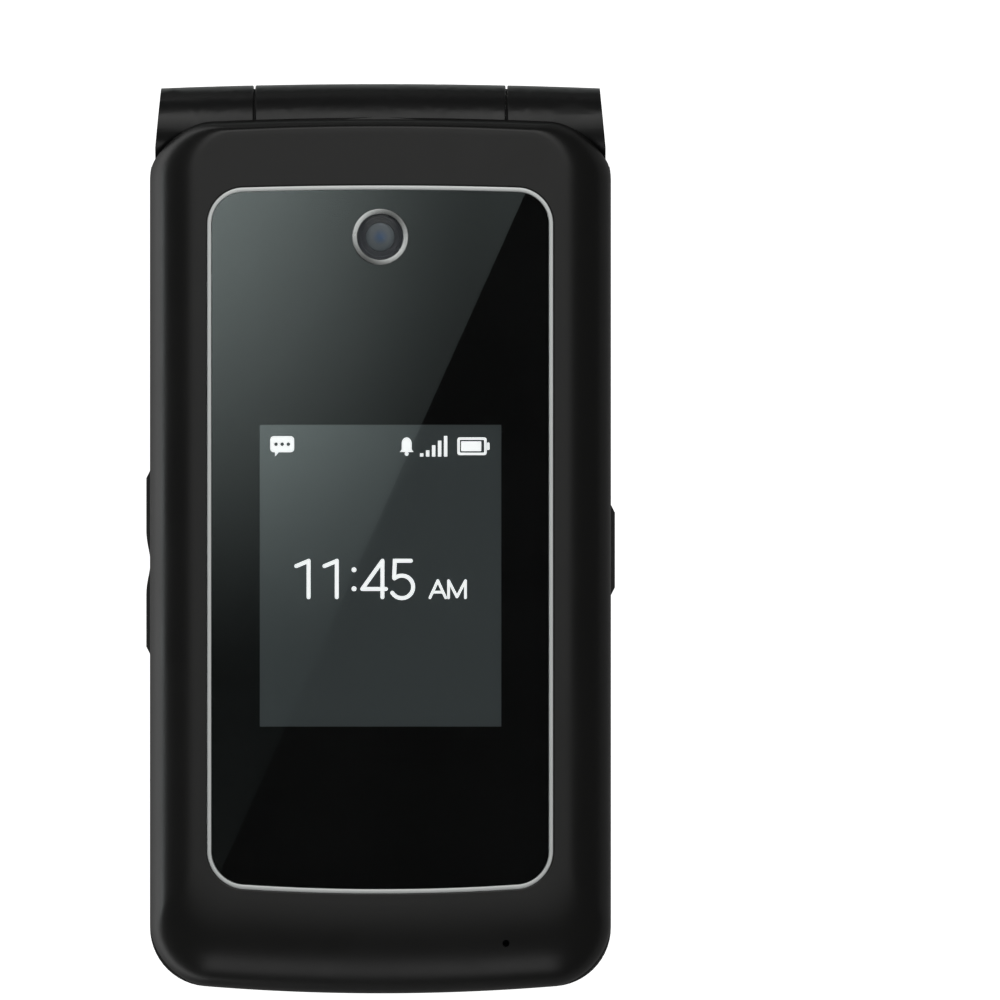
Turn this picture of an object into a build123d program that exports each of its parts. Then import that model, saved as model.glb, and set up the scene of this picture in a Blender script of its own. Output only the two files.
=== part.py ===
from build123d import *
import os
from math import cos, radians, sin

os.makedirs("parts", exist_ok=True)

# The phone lies closed on its back. X runs across it, Y towards the hinge, Z up through
# the lid. The origin is on the rest face, under the middle of the phone. Millimetres.

# Outline of the two halves, seen from above
half_width = 28.0
free_end = 55.25            # origin to the end away from the hinge
lid_hinge_edge = 51.2       # origin to the lid's edge beside the barrel
edge_step = 0.35            # how much further back the base's edge stands
hinge_bow = 0.75            # how far the edge beside the barrel bows out at its middle
free_bow = 1.5              # the same at the free end
corner_radius = 7.2
cover_hinge_edge = lid_hinge_edge - edge_step

# Fits and clearances
part_clearance = 0.2        # round a part that drops into an opening
display_clearance = 0.3
panel_gap = 0.1             # inner display's frame to the inner window
board_room = 0.2            # round bosses and sockets
socket_clearance = 0.1
socket_floor_gap = 0.05
running_fit = 0.05
split_gap = 0.2
barrel_clearance = 0.25
battery_cover_gap = 0.25    # battery to its cover
bay_roof_gap = 0.15         # battery to the roof of its bay
stem_gap = 0.05             # pressed key stem to the mat
seam_gap = 0.1
chassis_gap = 0.3           # rear housing to battery cover
cut_past = 0.1              # how far a cut runs past the wall it opens

# Walls
lid_wall = 1.2
lid_face_wall = 1.8
tray_floor = 1.0
cover_wall = 1.0
base_wall = 1.3
deck_wall = 1.2
chassis_plate = 1.1         # rear housing between battery and main board
chassis_floor = 0.9         # rear housing under the board bay
chassis_side_wall = 3.4     # rear housing beside the board bay
hinge_wall = 1.0            # concave wall behind the barrel
tray_edge_round = 0.5

# Sheets stacked on the main board, and the keys' fit over them
battery_thickness = 4.1
board_thickness = 0.8
dome_sheet = 0.1
dome_height = 0.2
mat_thickness = 0.5
key_travel = 0.35
stem_length = 0.6
key_flange = 0.5
key_flange_height = 0.5
key_flange_room = 0.1       # flange to the underside of the deck

# Heights
cover_height = 4.6          # rest face to the battery cover's seam
lid_gap = 0.4               # keypad deck to the closed lid
lid_tray_height = 2.2       # the lid's inner cover, up to the lid's own seam
lid_rise = 5.3              # the lid's outer cover, from its seam to its flat face
trim_proud = 0.1            # the window's trim over the lid's face

# Levels worked out from the heights
battery_top = cover_wall + battery_cover_gap + battery_thickness
board_floor = battery_top + bay_roof_gap + chassis_plate
board_face = board_floor + board_thickness
mat_floor = board_face + dome_sheet + dome_height
mat_face = mat_floor + mat_thickness
stem_floor = mat_face + key_travel + stem_gap
flange_top = stem_floor + stem_length + key_flange_height
deck_floor = flange_top + key_flange_room
base_height = deck_floor + deck_wall
base_seam = cover_height + seam_gap
lid_floor = base_height + lid_gap
lid_seam = lid_floor + lid_tray_height
lid_face = lid_seam + lid_rise
trim_top = lid_face + trim_proud

# How far each rounded edge runs in over the face
lid_side_reach = 6.0
lid_hinge_reach = 1.0
lid_free_reach = 10.8
cover_side_reach = 4.6
cover_hinge_reach = 2.0
cover_free_reach = 9.0
edge_steps = 6              # sections along a rounded edge

# Hinge barrel
hinge_back = 1.15           # the axis, from the lid's edge
hinge_over_deck = 0.15
barrel_radius = 5.2
barrel_end_radius = 4.65    # the barrel is slightly crowned
barrel_end_step = 0.65      # the barrel's ends, from the phone's sides
knuckle_reach = 12.7        # the middle of each split, from the phone's side
split_chamfer = 0.12
split_collar_radius = 4.55  # thin collars that close the view through the splits
split_collar_gap = 0.02     # collar to the faces beside it
knuckle_taper = 0.75        # each end face leans in by this much over the barrel
knuckle_trim = 1.0          # length cut away by the leaning end face
ear_start = 6.6             # where the knuckle blocks leave the base's side, before the axis
cam_radius = 3.5
cam_length = 2.9
cartridge_radius = 3.3
cartridge_shaft_radius = 1.4
bushing_radius = 3.0
bushing_wall = 0.6
bushing_length = 7.5
knuckle_end_wall = 1.0
flex_roll_radius = 2.1
flex_thickness = 0.3
flex_width = 3.5
flex_bushing_gap = 1.0      # cable to the bushing
flex_cam_gap = 2.0          # cable to the cam
flex_strip_reach = 1.0      # strip past the concave wall
flex_slot_room = 0.3
flex_slot_reach = 0.5
hinge_y = lid_hinge_edge - hinge_back
hinge_z = base_height + hinge_over_deck
barrel_half_length = half_width - barrel_end_step
knuckle_split = half_width - knuckle_reach

# Outer window, its trim and the outer display
window_side_margin = 7.0
window_hinge_margin = 8.35
window_free_margin = 12.2
window_top_bow = 0.4
window_bottom_bow = 0.85
window_corner = 4.3
trim_width = 0.55
window_thickness = 0.95
window_sink = 0.15          # glass below the top of the trim
outer_display_width = 33.0
outer_display_length = 42.0
outer_display_thickness = 1.7
outer_display_drop = 4.45   # its middle below the window's
window_half_width = half_width - window_side_margin
window_top = lid_hinge_edge - window_hinge_margin
window_bottom = free_end - window_free_margin
window_floor = trim_top - window_sink - window_thickness
outer_display_y = (window_top - window_bottom) / 2 - outer_display_drop

# Outer camera
camera_margin = 6.25        # its middle below the window's edge
camera_ring_radius = 3.45
camera_ring_width = 0.7
camera_lens_sink = 0.35
camera_lens_thickness = 0.7
camera_module_width = 8.0
camera_module_height = 2.9
camera_y = window_top - camera_margin

# Inner window and display
inner_window_side_margin = 3.5
inner_window_hinge_margin = 22.2
inner_window_free_margin = 15.25
inner_window_thickness = 0.75
inner_window_corner = 2.5
inner_display_margin = 2.0  # frame of the display, from the window's edge
inner_display_thickness = 1.5
display_view_side = 0.7     # frame of the display round its view
display_view_length = 58.0
inner_window_width = 2 * (half_width - inner_window_side_margin)
inner_window_top = lid_hinge_edge - inner_window_hinge_margin
inner_window_bottom = free_end - inner_window_free_margin
inner_window_length = inner_window_top + inner_window_bottom
inner_window_y = (inner_window_top - inner_window_bottom) / 2
inner_display_width = inner_window_width - 2 * inner_display_margin
inner_display_length = inner_window_length - 2 * inner_display_margin
display_view_width = inner_display_width - 2 * display_view_side
display_floor = lid_floor + inner_window_thickness + panel_gap

# Lid board and what it carries
lid_board_side_margin = 5.7
lid_board_hinge_margin = 11.2
lid_board_free_margin = 11.25
lid_board_thickness = 0.8
lid_board_lift = 0.3        # over the inner display
tongue_left = 9.0           # board tongue towards the free end
tongue_right_margin = 9.5
tongue_free_margin = 3.75
earpiece_free_margin = 8.75
earpiece_width = 12.0
earpiece_length = 6.0
earpiece_height = 2.3
earpiece_slot_width = 9.0
earpiece_slot_length = 1.3
lid_mic_side_margin = 12.75
lid_mic_free_margin = 6.15
lid_mic_hole = 0.42         # radius of the sound hole in the lid
lid_mic_radius = 1.6
lid_mic_height = 0.8
magnet_side_margin = 14.5
magnet_free_margin = 7.25
magnet_size = 4.5
magnet_height = 1.5
bumper_radius = 1.9
bumper_height = 0.35
lid_board_half_width = half_width - lid_board_side_margin
lid_board_top = lid_hinge_edge - lid_board_hinge_margin
lid_board_bottom = free_end - lid_board_free_margin
lid_board_floor = display_floor + inner_display_thickness + lid_board_lift
tongue_right = half_width - tongue_right_margin
tongue_bottom = free_end - tongue_free_margin
earpiece_y = earpiece_free_margin - free_end
lid_mic_x = half_width - lid_mic_side_margin
lid_mic_y = lid_mic_free_margin - free_end
magnet_x = magnet_side_margin - half_width
magnet_y = magnet_free_margin - free_end

# Screws and their bosses, near the four corners
screw_radius = 0.8
screw_head_radius = 1.4
screw_head_height = 0.6
screw_head_room = 0.15
boss_radius = 1.8
lid_screw_length = 3.6
lid_screw_side_margin = 3.4
lid_screw_hinge_margin = 14.2
lid_screw_corner_margin = 6.2
lid_screw_free_margin = 7.95
base_screw_side_margin = 3.4
base_screw_hinge_margin = 10.85
base_screw_corner_margin = 5.6
base_screw_free_margin = 8.95
lid_screw_x = half_width - lid_screw_side_margin
lid_screw_y = lid_hinge_edge - lid_screw_hinge_margin
lid_screw_free_x = half_width - lid_screw_corner_margin
lid_screw_free_y = lid_screw_free_margin - free_end
base_screw_x = half_width - base_screw_side_margin
base_screw_y = cover_hinge_edge - base_screw_hinge_margin
base_screw_free_x = half_width - base_screw_corner_margin
base_screw_free_y = base_screw_free_margin - free_end

# Keys: the ring below the hinge, two function keys at each side of it, then the digits
key_proud = 0.15            # key tops over the deck
key_clearance = 0.15
key_edge = 0.2
stem_radius = 1.5
keypad_side_margin = 5.5
digit_gap = 1.2
digit_row_gap = 1.6
digit_length = 11.0
digit_corner = 2.2
function_side_margin = 5.25
function_ring_gap = 1.65
function_length = 7.4
function_row_step = 5.4     # the two rows, from the ring's middle
nav_hinge_margin = 23.05
nav_radius = 9.6
nav_top = 0.05              # ring top over the deck
nav_flange_room = 0.35      # room for the ring's tilt
nav_gap = 0.3               # between the ring and the middle key
nav_digit_step = 20.2       # the first row of digits, from the ring's middle
ok_radius = 4.2
nav_stem_radius = 1.0
nav_stem_reach = 7.2
digit_width = (2 * (half_width - keypad_side_margin) - 2 * digit_gap) / 3
column_pitch = digit_width + digit_gap
row_pitch = digit_length + digit_row_gap
function_width = half_width - function_side_margin - nav_radius - function_ring_gap
function_x = half_width - function_side_margin - function_width / 2
nav_y = cover_hinge_edge - nav_hinge_margin
soft_row_y = nav_y + function_row_step
call_row_y = nav_y - function_row_step
first_row_y = nav_y - nav_digit_step

# Side keys
side_key_proud = 0.5
side_key_height = 2.4
side_key_flange = 0.2
side_key_under_deck = 2.8   # middle of the side keys below the deck's face
side_key_room = 0.3         # flange to the inside of the wall
side_key_flange_depth = 0.8
side_key_nub = 0.25
side_key_chamfer = 0.45
nub_width = 1.5
nub_height = 1.0
volume_y = -2.9
volume_length = 22.3
volume_dip_length = 5.4
volume_dip_slope = 1.2
volume_nub_y = 7.0
power_y = -1.4
power_length = 10.9
switch_gap = 0.25           # nub of the rocker to its switch
switch_depth = 1.2
switch_width = 4.0
switch_height = 1.8
side_key_z = base_height - side_key_under_deck
side_wall_inside = half_width - base_wall
flange_outside = side_wall_inside - side_key_room
flange_inside = flange_outside - side_key_flange_depth

# Electronics in the base
board_free_margin = 3.75
dome_radius = 2.5
mat_side_margin = 5.1
mat_hinge_step = 10.2       # mat past the ring's middle
mat_free_margin = 16.75
mic_x = 8.0
mic_free_margin = 8.75
mic_radius = 2.1
mic_height = 2.2
mic_hole = 0.5
jack_side_margin = 11.0
jack_bore = 1.8              # for a 3.5 mm plug
jack_half_width = 2.9
jack_half_height = 2.1
jack_length = 12.0
jack_collar = 2.4
jack_back_wall = 1.0
usb_width = 7.6
usb_height = 2.7
usb_length = 5.6
usb_shell = 0.35
usb_sink = 0.4              # shell front behind the outside of the wall
usb_tongue = 0.7
usb_tongue_length = 4.5
speaker_width = 18.0
speaker_length = 13.0
speaker_height = 2.9
sound_slot_length = 2.2
sound_slot_width = 1.2
sound_slot_pitch = 3.0
sound_slot_row = 2.4
motor_radius = 4.0
motor_height = 2.6
motor_side_room = 1.3
motor_end_room = 0.4
sim_width = 16.5
sim_length = 12.6
sim_height = 1.4
sim_side_room = 2.05
sim_end_room = 0.7
sim_wall = 1.0
sim_slot_height = 0.63
sim_slot_floor = 0.42
can_height = 1.5
can_width = 11.0
can_length = 9.0
can_corner = 1.0
can_side_room = 1.0
can_hinge_margin = 15.35
antenna_side_margin = 15.0
antenna_free_margin = 7.25
antenna_width = 13.0
antenna_length = 6.5
antenna_thickness = 0.3
antenna_arm = 2.0           # foil left beside the slot that divides it
board_half_width = flange_inside - side_key_nub - switch_gap
board_bottom = free_end - board_free_margin
board_top = hinge_y - ear_start - board_room
mat_half_width = half_width - mat_side_margin
mat_top = nav_y + mat_hinge_step
mat_bottom = free_end - mat_free_margin
mic_y = mic_free_margin - free_end
jack_x = half_width - jack_side_margin
socket_z = deck_floor - socket_clearance - jack_half_height
antenna_x = antenna_side_margin - half_width
antenna_y = antenna_free_margin - free_end

# Battery and its contacts
battery_width = 38.0
battery_length = 54.0
battery_y = -18.0
battery_corner = 2.0
battery_room = 0.3
contact_width = 10.0
contact_depth = 2.3
contact_height = 3.2
contact_x = -9.0
contact_wall = 1.5          # rear housing between the contacts and the board bay
blade_width = 1.0
blade_height = 1.28

# Grille in the battery cover
grille_hinge_margin = 22.4
grille_side_margin = 6.95
grille_length = 5.9
grille_groove = 0.45
grille_sink = 0.05
grille_lip = 0.8
grille_lip_height = 0.3
grille_hole = 0.4
grille_pitch = 1.82
grille_blank_ends = 9.0     # both ends without holes, together
grille_outer_row = 1.86
grille_inner_row = 0.72
grille_mark_inset = 2.85
grille_mark_radius = 0.9
grille_mark_depth = 0.3
notch_width = 20.3
notch_depth = 0.75
notch_height = 2.2
speaker_y = cover_hinge_edge - grille_hinge_margin
grille_width = 2 * (half_width - grille_side_margin)
grille_inner_count = int((grille_width - grille_blank_ends) / grille_pitch) + 1
grille_mark_x = grille_mark_inset - grille_width / 2

# The rear housing's bays
chassis_inset = cover_wall + chassis_gap
bay_half_width = battery_width / 2 + battery_room
bay_half_length = battery_length / 2 + battery_room
contact_start = battery_y + bay_half_length
board_bay_bottom = contact_start + contact_depth + contact_wall
board_bay_top = hinge_y - barrel_radius - barrel_clearance - hinge_wall - flex_strip_reach
board_bay_floor = chassis_inset + chassis_floor
board_bay_half_width = half_width - chassis_inset - chassis_side_wall
motor_x = board_bay_half_width - motor_side_room - motor_radius
motor_y = board_bay_bottom + motor_end_room + motor_radius
sim_x = sim_width / 2 + sim_side_room - board_bay_half_width
sim_y = board_bay_bottom + sim_end_room + sim_length / 2
can_x = board_bay_half_width - can_side_room - can_width / 2
can_y = cover_hinge_edge - can_hinge_margin


class BowedOutline(BaseSketchObject):
    # A rectangle with rounded corners whose two ends bow outwards
    def __init__(self, half, top, bottom, top_bow, bottom_bow, corner, mode=Mode.ADD):
        with BuildSketch() as outline:
            with BuildLine():
                ThreePointArc((-half, top - top_bow), (0, top), (half, top - top_bow))
                Line((half, top - top_bow), (half, bottom + bottom_bow))
                ThreePointArc((half, bottom + bottom_bow), (0, bottom), (-half, bottom + bottom_bow))
                Line((-half, bottom + bottom_bow), (-half, top - top_bow))
            make_face()
            fillet(outline.vertices(), corner)
        super().__init__(outline.sketch, 0, None, mode)


class BodyOutline(BowedOutline):
    # The plan of a half of the phone, drawn in by inset and further by the three edge insets
    def __init__(self, hinge_edge, inset, side=0, hinge=0, free=0, mode=Mode.ADD):
        corner = corner_radius - inset - side / 2
        super().__init__(
            half_width - inset - side,
            hinge_edge - inset - hinge,
            -free_end + inset + free,
            hinge_bow,
            free_bow,
            corner,
            mode,
        )


class WindowOutline(BowedOutline):
    # The plan of the outer window, drawn in by inset
    def __init__(self, inset, mode=Mode.ADD):
        super().__init__(
            window_half_width - inset,
            window_top - inset,
            -window_bottom + inset,
            window_top_bow,
            window_bottom_bow,
            window_corner - inset,
            mode,
        )


def rounded_half(hinge_edge, seam, rise, inset, side_reach, hinge_reach, free_reach):
    # Half of a body: its plan at the seam, drawn in along a quarter ellipse up to its face
    with BuildPart() as half:
        for step in range(edge_steps + 1):
            turn = radians(90 * step / edge_steps)
            drawn_in = 1 - cos(turn)
            with BuildSketch(Plane.XY.offset(seam + rise * sin(turn))):
                BodyOutline(
                    hinge_edge,
                    inset,
                    side_reach * drawn_in,
                    hinge_reach * drawn_in,
                    free_reach * drawn_in,
                )
        loft()
    return half.part


def lid_half(inset, face_wall):
    rise = lid_rise - face_wall
    reaches = (lid_side_reach, lid_hinge_reach, lid_free_reach)
    return rounded_half(lid_hinge_edge, lid_seam, rise, inset, *reaches)


def cover_half(inset):
    rise = -(cover_height - inset)
    reaches = (cover_side_reach, cover_hinge_reach, cover_free_reach)
    return rounded_half(cover_hinge_edge, cover_height, rise, inset, *reaches)


def hinge_cylinder(radius, left, right):
    # A plain cylinder on the hinge axis, from X = left to X = right
    with BuildPart() as cylinder:
        with BuildSketch(Plane(origin=(left, hinge_y, hinge_z), z_dir=(1, 0, 0))):
            Circle(radius)
        extrude(amount=right - left)
    return cylinder.part


def barrel_radius_at(x):
    return barrel_radius - (barrel_radius - barrel_end_radius) * (x / barrel_half_length) ** 2


def barrel_piece(left, right):
    # A stretch of the crowned barrel with its split edges chamfered
    middle = (left + right) / 2
    left_radius = barrel_radius_at(left)
    right_radius = barrel_radius_at(right)
    with BuildPart() as piece:
        with BuildSketch(Plane(origin=(0, hinge_y, hinge_z), x_dir=(1, 0, 0), z_dir=(0, 0, 1))):
            with BuildLine():
                ThreePointArc(
                    (left + split_chamfer, left_radius),
                    (middle, barrel_radius_at(middle)),
                    (right - split_chamfer, right_radius),
                )
                Polyline(
                    (right - split_chamfer, right_radius),
                    (right, right_radius - split_chamfer),
                    (right, 0),
                    (left, 0),
                    (left, left_radius - split_chamfer),
                    (left + split_chamfer, left_radius),
                )
            make_face()
        revolve(axis=Axis((0, hinge_y, hinge_z), (1, 0, 0)))
    return piece.part


def box_between(x_min, x_max, y_min, y_max, z_min, z_max):
    with BuildPart() as block:
        with BuildSketch(Plane.XY.offset(z_min)):
            with Locations(((x_min + x_max) / 2, (y_min + y_max) / 2)):
                Rectangle(x_max - x_min, y_max - y_min)
        extrude(amount=z_max - z_min)
    return block.part


centre_end = knuckle_split - split_gap / 2
knuckle_start = knuckle_split + split_gap / 2
hollow_radius = barrel_radius + barrel_clearance
far_side = half_width + side_key_proud
whole_hollow = hinge_cylinder(hollow_radius, -far_side, far_side)
walled_hollow = hinge_cylinder(hollow_radius + hinge_wall, -far_side, far_side)

lid_screw_places = [
    (-lid_screw_x, lid_screw_y),
    (lid_screw_x, lid_screw_y),
    (-lid_screw_free_x, lid_screw_free_y),
    (lid_screw_free_x, lid_screw_free_y),
]
base_screw_places = [
    (-base_screw_x, base_screw_y),
    (base_screw_x, base_screw_y),
    (-base_screw_free_x, base_screw_free_y),
    (base_screw_free_x, base_screw_free_y),
]

# Keys: name, centre and size
digit_names = ["1", "2", "3", "4", "5", "6", "7", "8", "9", "star", "0", "hash"]
key_places = {}
for index, digit in enumerate(digit_names):
    key_x = (index % 3 - 1) * column_pitch
    key_y = first_row_y - (index // 3) * row_pitch
    key_places["key_" + digit] = (key_x, key_y, digit_width, digit_length)
key_places["key_soft_left"] = (-function_x, soft_row_y, function_width, function_length)
key_places["key_soft_right"] = (function_x, soft_row_y, function_width, function_length)
key_places["key_send"] = (-function_x, call_row_y, function_width, function_length)
key_places["key_end"] = (function_x, call_row_y, function_width, function_length)

# ---------------------------------------------------------------- lid: outer cover
lid_cavity = lid_half(lid_wall, lid_face_wall) - walled_hollow
lid_screw_top = lid_floor + screw_head_height + screw_head_room + lid_screw_length
boss_floor = lid_floor + tray_floor

with BuildPart() as lid_outer_cover:
    add(lid_half(0, 0))
    add(lid_cavity, mode=Mode.SUBTRACT)
    with BuildSketch(Plane.XY.offset(window_floor)):
        WindowOutline(0)
    extrude(amount=trim_top - window_floor, mode=Mode.SUBTRACT)
    # openings in the window's ledge for the display and the camera
    with BuildSketch(Plane.XY.offset(lid_seam)):
        with Locations((0, outer_display_y)):
            Rectangle(
                outer_display_width + 2 * display_clearance,
                outer_display_length + 2 * display_clearance,
            )
        with Locations((0, camera_y)):
            Circle(camera_ring_radius)
    extrude(amount=trim_top - lid_seam, mode=Mode.SUBTRACT)
    with BuildSketch(Plane.XY.offset(lid_seam)):
        with Locations((lid_mic_x, lid_mic_y)):
            Circle(lid_mic_hole)
    extrude(amount=lid_rise, mode=Mode.SUBTRACT)
    # screw bosses, standing on the inner cover
    with BuildSketch(Plane.XY.offset(boss_floor)):
        with Locations(lid_screw_places):
            Circle(boss_radius)
    extrude(amount=lid_screw_top + lid_face_wall / 2 - boss_floor)
    with BuildSketch(Plane.XY.offset(boss_floor)):
        with Locations(lid_screw_places):
            Circle(screw_radius)
    extrude(amount=lid_screw_top - boss_floor, mode=Mode.SUBTRACT)
    add(whole_hollow, mode=Mode.SUBTRACT)
lid_outer_cover.part.label = "lid_outer_cover"
export_step(lid_outer_cover.part, "parts/lid_outer_cover.step")

# ---------------------------------------------------------------- lid: inner cover
with BuildPart() as tray_cavity:
    with BuildSketch(Plane.XY.offset(boss_floor)):
        BodyOutline(lid_hinge_edge, lid_wall)
    extrude(amount=lid_seam - boss_floor)
    add(walled_hollow, mode=Mode.SUBTRACT)

with BuildPart() as lid_inner_cover:
    with BuildSketch(Plane.XY.offset(lid_floor)):
        BodyOutline(lid_hinge_edge, 0)
    extrude(amount=lid_tray_height)
    fillet(lid_inner_cover.edges().group_by(Axis.Z)[0], tray_edge_round)
    add(tray_cavity.part, mode=Mode.SUBTRACT)
    # pocket for the inner window and the view of the inner display
    with BuildSketch(Plane.XY.offset(lid_floor)):
        with Locations((0, inner_window_y)):
            RectangleRounded(inner_window_width, inner_window_length, inner_window_corner)
    extrude(amount=inner_window_thickness, mode=Mode.SUBTRACT)
    with BuildSketch(Plane.XY.offset(lid_floor)):
        with Locations((0, inner_window_y)):
            Rectangle(
                inner_display_width + 2 * part_clearance,
                inner_display_length + 2 * part_clearance,
            )
        with Locations((0, earpiece_y)):
            SlotOverall(earpiece_slot_width, earpiece_slot_length)
    extrude(amount=tray_floor, mode=Mode.SUBTRACT)
    # screw holes with their head recesses
    with BuildSketch(Plane.XY.offset(lid_floor)):
        with Locations(lid_screw_places):
            Circle(screw_radius)
    extrude(amount=tray_floor, mode=Mode.SUBTRACT)
    with BuildSketch(Plane.XY.offset(lid_floor)):
        with Locations(lid_screw_places):
            Circle(screw_head_radius + screw_head_room)
    extrude(amount=screw_head_height + screw_head_room, mode=Mode.SUBTRACT)
    # room for the outer knuckles, then the middle stretch of the barrel
    add(hinge_cylinder(hollow_radius, -far_side, -centre_end), mode=Mode.SUBTRACT)
    add(hinge_cylinder(hollow_radius, centre_end, far_side), mode=Mode.SUBTRACT)
    add(barrel_piece(-centre_end, centre_end))
    add(
        hinge_cylinder(bushing_radius + running_fit, -centre_end, centre_end - cam_length),
        mode=Mode.SUBTRACT,
    )
    add(hinge_cylinder(cam_radius, centre_end - cam_length, centre_end), mode=Mode.SUBTRACT)
lid_inner_cover.part.label = "lid_inner_cover"
export_step(lid_inner_cover.part, "parts/lid_inner_cover.step")

# ---------------------------------------------------------------- lid: window and its trim
with BuildPart() as window_trim_ring:
    with BuildSketch(Plane.XY.offset(window_floor)):
        WindowOutline(0)
        WindowOutline(trim_width, mode=Mode.SUBTRACT)
    extrude(amount=trim_top - window_floor)
    chamfer(window_trim_ring.edges().group_by(Axis.Z)[-1], trim_width / 4)
window_trim_ring.part.label = "window_trim_ring"
export_step(window_trim_ring.part, "parts/window_trim_ring.step")

with BuildPart() as outer_window:
    with BuildSketch(Plane.XY.offset(window_floor)):
        WindowOutline(trim_width)
        with Locations((0, camera_y)):
            Circle(camera_ring_radius, mode=Mode.SUBTRACT)
    extrude(amount=window_thickness)
outer_window.part.label = "outer_window"
export_step(outer_window.part, "parts/outer_window.step")

with BuildPart() as outer_display:
    with BuildSketch(Plane.XY.offset(window_floor - outer_display_thickness)):
        with Locations((0, outer_display_y)):
            Rectangle(outer_display_width, outer_display_length)
    extrude(amount=outer_display_thickness)
outer_display.part.label = "outer_display"
export_step(outer_display.part, "parts/outer_display.step")

# ---------------------------------------------------------------- lid: camera
ring_inner_radius = camera_ring_radius - camera_ring_width
lens_top = trim_top - camera_lens_sink
lens_floor = lens_top - camera_lens_thickness
with BuildPart() as camera_ring:
    with BuildSketch(Plane.XY.offset(lid_face - lid_face_wall)):
        with Locations((0, camera_y)):
            Circle(camera_ring_radius)
            Circle(ring_inner_radius, mode=Mode.SUBTRACT)
    extrude(amount=trim_top - lid_face + lid_face_wall)
    chamfer(camera_ring.edges().group_by(Axis.Z)[-1], camera_ring_width / 4)
camera_ring.part.label = "camera_ring"
export_step(camera_ring.part, "parts/camera_ring.step")

with BuildPart() as camera_lens:
    with BuildSketch(Plane.XY.offset(lens_floor)):
        with Locations((0, camera_y)):
            Circle(ring_inner_radius)
    extrude(amount=camera_lens_thickness)
camera_lens.part.label = "camera_lens"
export_step(camera_lens.part, "parts/camera_lens.step")

camera_block_floor = lid_face - lid_face_wall - camera_module_height
with BuildPart() as camera_module:
    with BuildSketch(Plane.XY.offset(camera_block_floor)):
        with Locations((0, camera_y)):
            Rectangle(camera_module_width, camera_module_width)
    extrude(amount=camera_module_height)
    with BuildSketch(Plane.XY.offset(camera_block_floor)):
        with Locations((0, camera_y)):
            Circle(ring_inner_radius)
    extrude(amount=lens_floor - camera_block_floor)
camera_module.part.label = "camera_module"
export_step(camera_module.part, "parts/camera_module.step")

# ---------------------------------------------------------------- lid: inner window and display
with BuildPart() as inner_window:
    with BuildSketch(Plane.XY.offset(lid_floor)):
        with Locations((0, inner_window_y)):
            RectangleRounded(inner_window_width, inner_window_length, inner_window_corner)
    extrude(amount=inner_window_thickness)
inner_window.part.label = "inner_window"
export_step(inner_window.part, "parts/inner_window.step")

with BuildPart() as inner_display:
    with BuildSketch(Plane.XY.offset(display_floor)):
        with Locations((0, inner_window_y)):
            Rectangle(inner_display_width, inner_display_length)
    extrude(amount=inner_display_thickness)
    # glass of the panel, within the metal frame's view
    with BuildSketch(Plane.XY.offset(display_floor - panel_gap)):
        with Locations((0, inner_window_y)):
            Rectangle(display_view_width, display_view_length)
    extrude(amount=panel_gap)
inner_display.part.label = "inner_display"
export_step(inner_display.part, "parts/inner_display.step")

# ---------------------------------------------------------------- lid: board and what it carries
camera_hole_width = camera_module_width + 2 * part_clearance
with BuildPart() as lid_board:
    with BuildSketch(Plane.XY.offset(lid_board_floor)):
        with Locations((0, (lid_board_top - lid_board_bottom) / 2)):
            Rectangle(2 * lid_board_half_width, lid_board_top + lid_board_bottom)
        with Locations(((tongue_right - tongue_left) / 2, -(lid_board_bottom + tongue_bottom) / 2)):
            Rectangle(tongue_right + tongue_left, tongue_bottom - lid_board_bottom)
        with Locations((0, camera_y)):
            Rectangle(camera_hole_width, camera_hole_width, mode=Mode.SUBTRACT)
        with Locations((0, earpiece_y)):
            Rectangle(
                earpiece_width + 2 * part_clearance,
                earpiece_length + 2 * part_clearance,
                mode=Mode.SUBTRACT,
            )
        with Locations(lid_screw_places):
            Circle(boss_radius + board_room, mode=Mode.SUBTRACT)
    extrude(amount=lid_board_thickness)
lid_board.part.label = "lid_board"
export_step(lid_board.part, "parts/lid_board.step")

with BuildPart() as earpiece:
    with BuildSketch(Plane.XY.offset(boss_floor)):
        with Locations((0, earpiece_y)):
            RectangleRounded(earpiece_width, earpiece_length, earpiece_length / 4)
    extrude(amount=earpiece_height)
earpiece.part.label = "earpiece"
export_step(earpiece.part, "parts/earpiece.step")

with BuildPart() as lid_microphone:
    with BuildSketch(Plane.XY.offset(lid_board_floor + lid_board_thickness)):
        with Locations((lid_mic_x, lid_mic_y)):
            Circle(lid_mic_radius)
    extrude(amount=lid_mic_height)
    fillet(lid_microphone.edges().group_by(Axis.Z)[-1], lid_mic_radius / 10)
lid_microphone.part.label = "lid_microphone"
export_step(lid_microphone.part, "parts/lid_microphone.step")

with BuildPart() as lid_magnet:
    with BuildSketch(Plane.XY.offset(boss_floor)):
        with Locations((magnet_x, magnet_y)):
            Rectangle(magnet_size, magnet_size)
    extrude(amount=magnet_height)
lid_magnet.part.label = "lid_magnet"
export_step(lid_magnet.part, "parts/lid_magnet.step")

with BuildPart() as lid_bumpers:
    with BuildSketch(Plane.XY.offset(lid_floor - bumper_height)):
        with Locations(lid_screw_places):
            Circle(bumper_radius)
    extrude(amount=bumper_height)
    fillet(lid_bumpers.edges().group_by(Axis.Z)[0], bumper_height / 2)
lid_bumpers.part.label = "lid_bumpers"
export_step(lid_bumpers.part, "parts/lid_bumpers.step")

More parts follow.
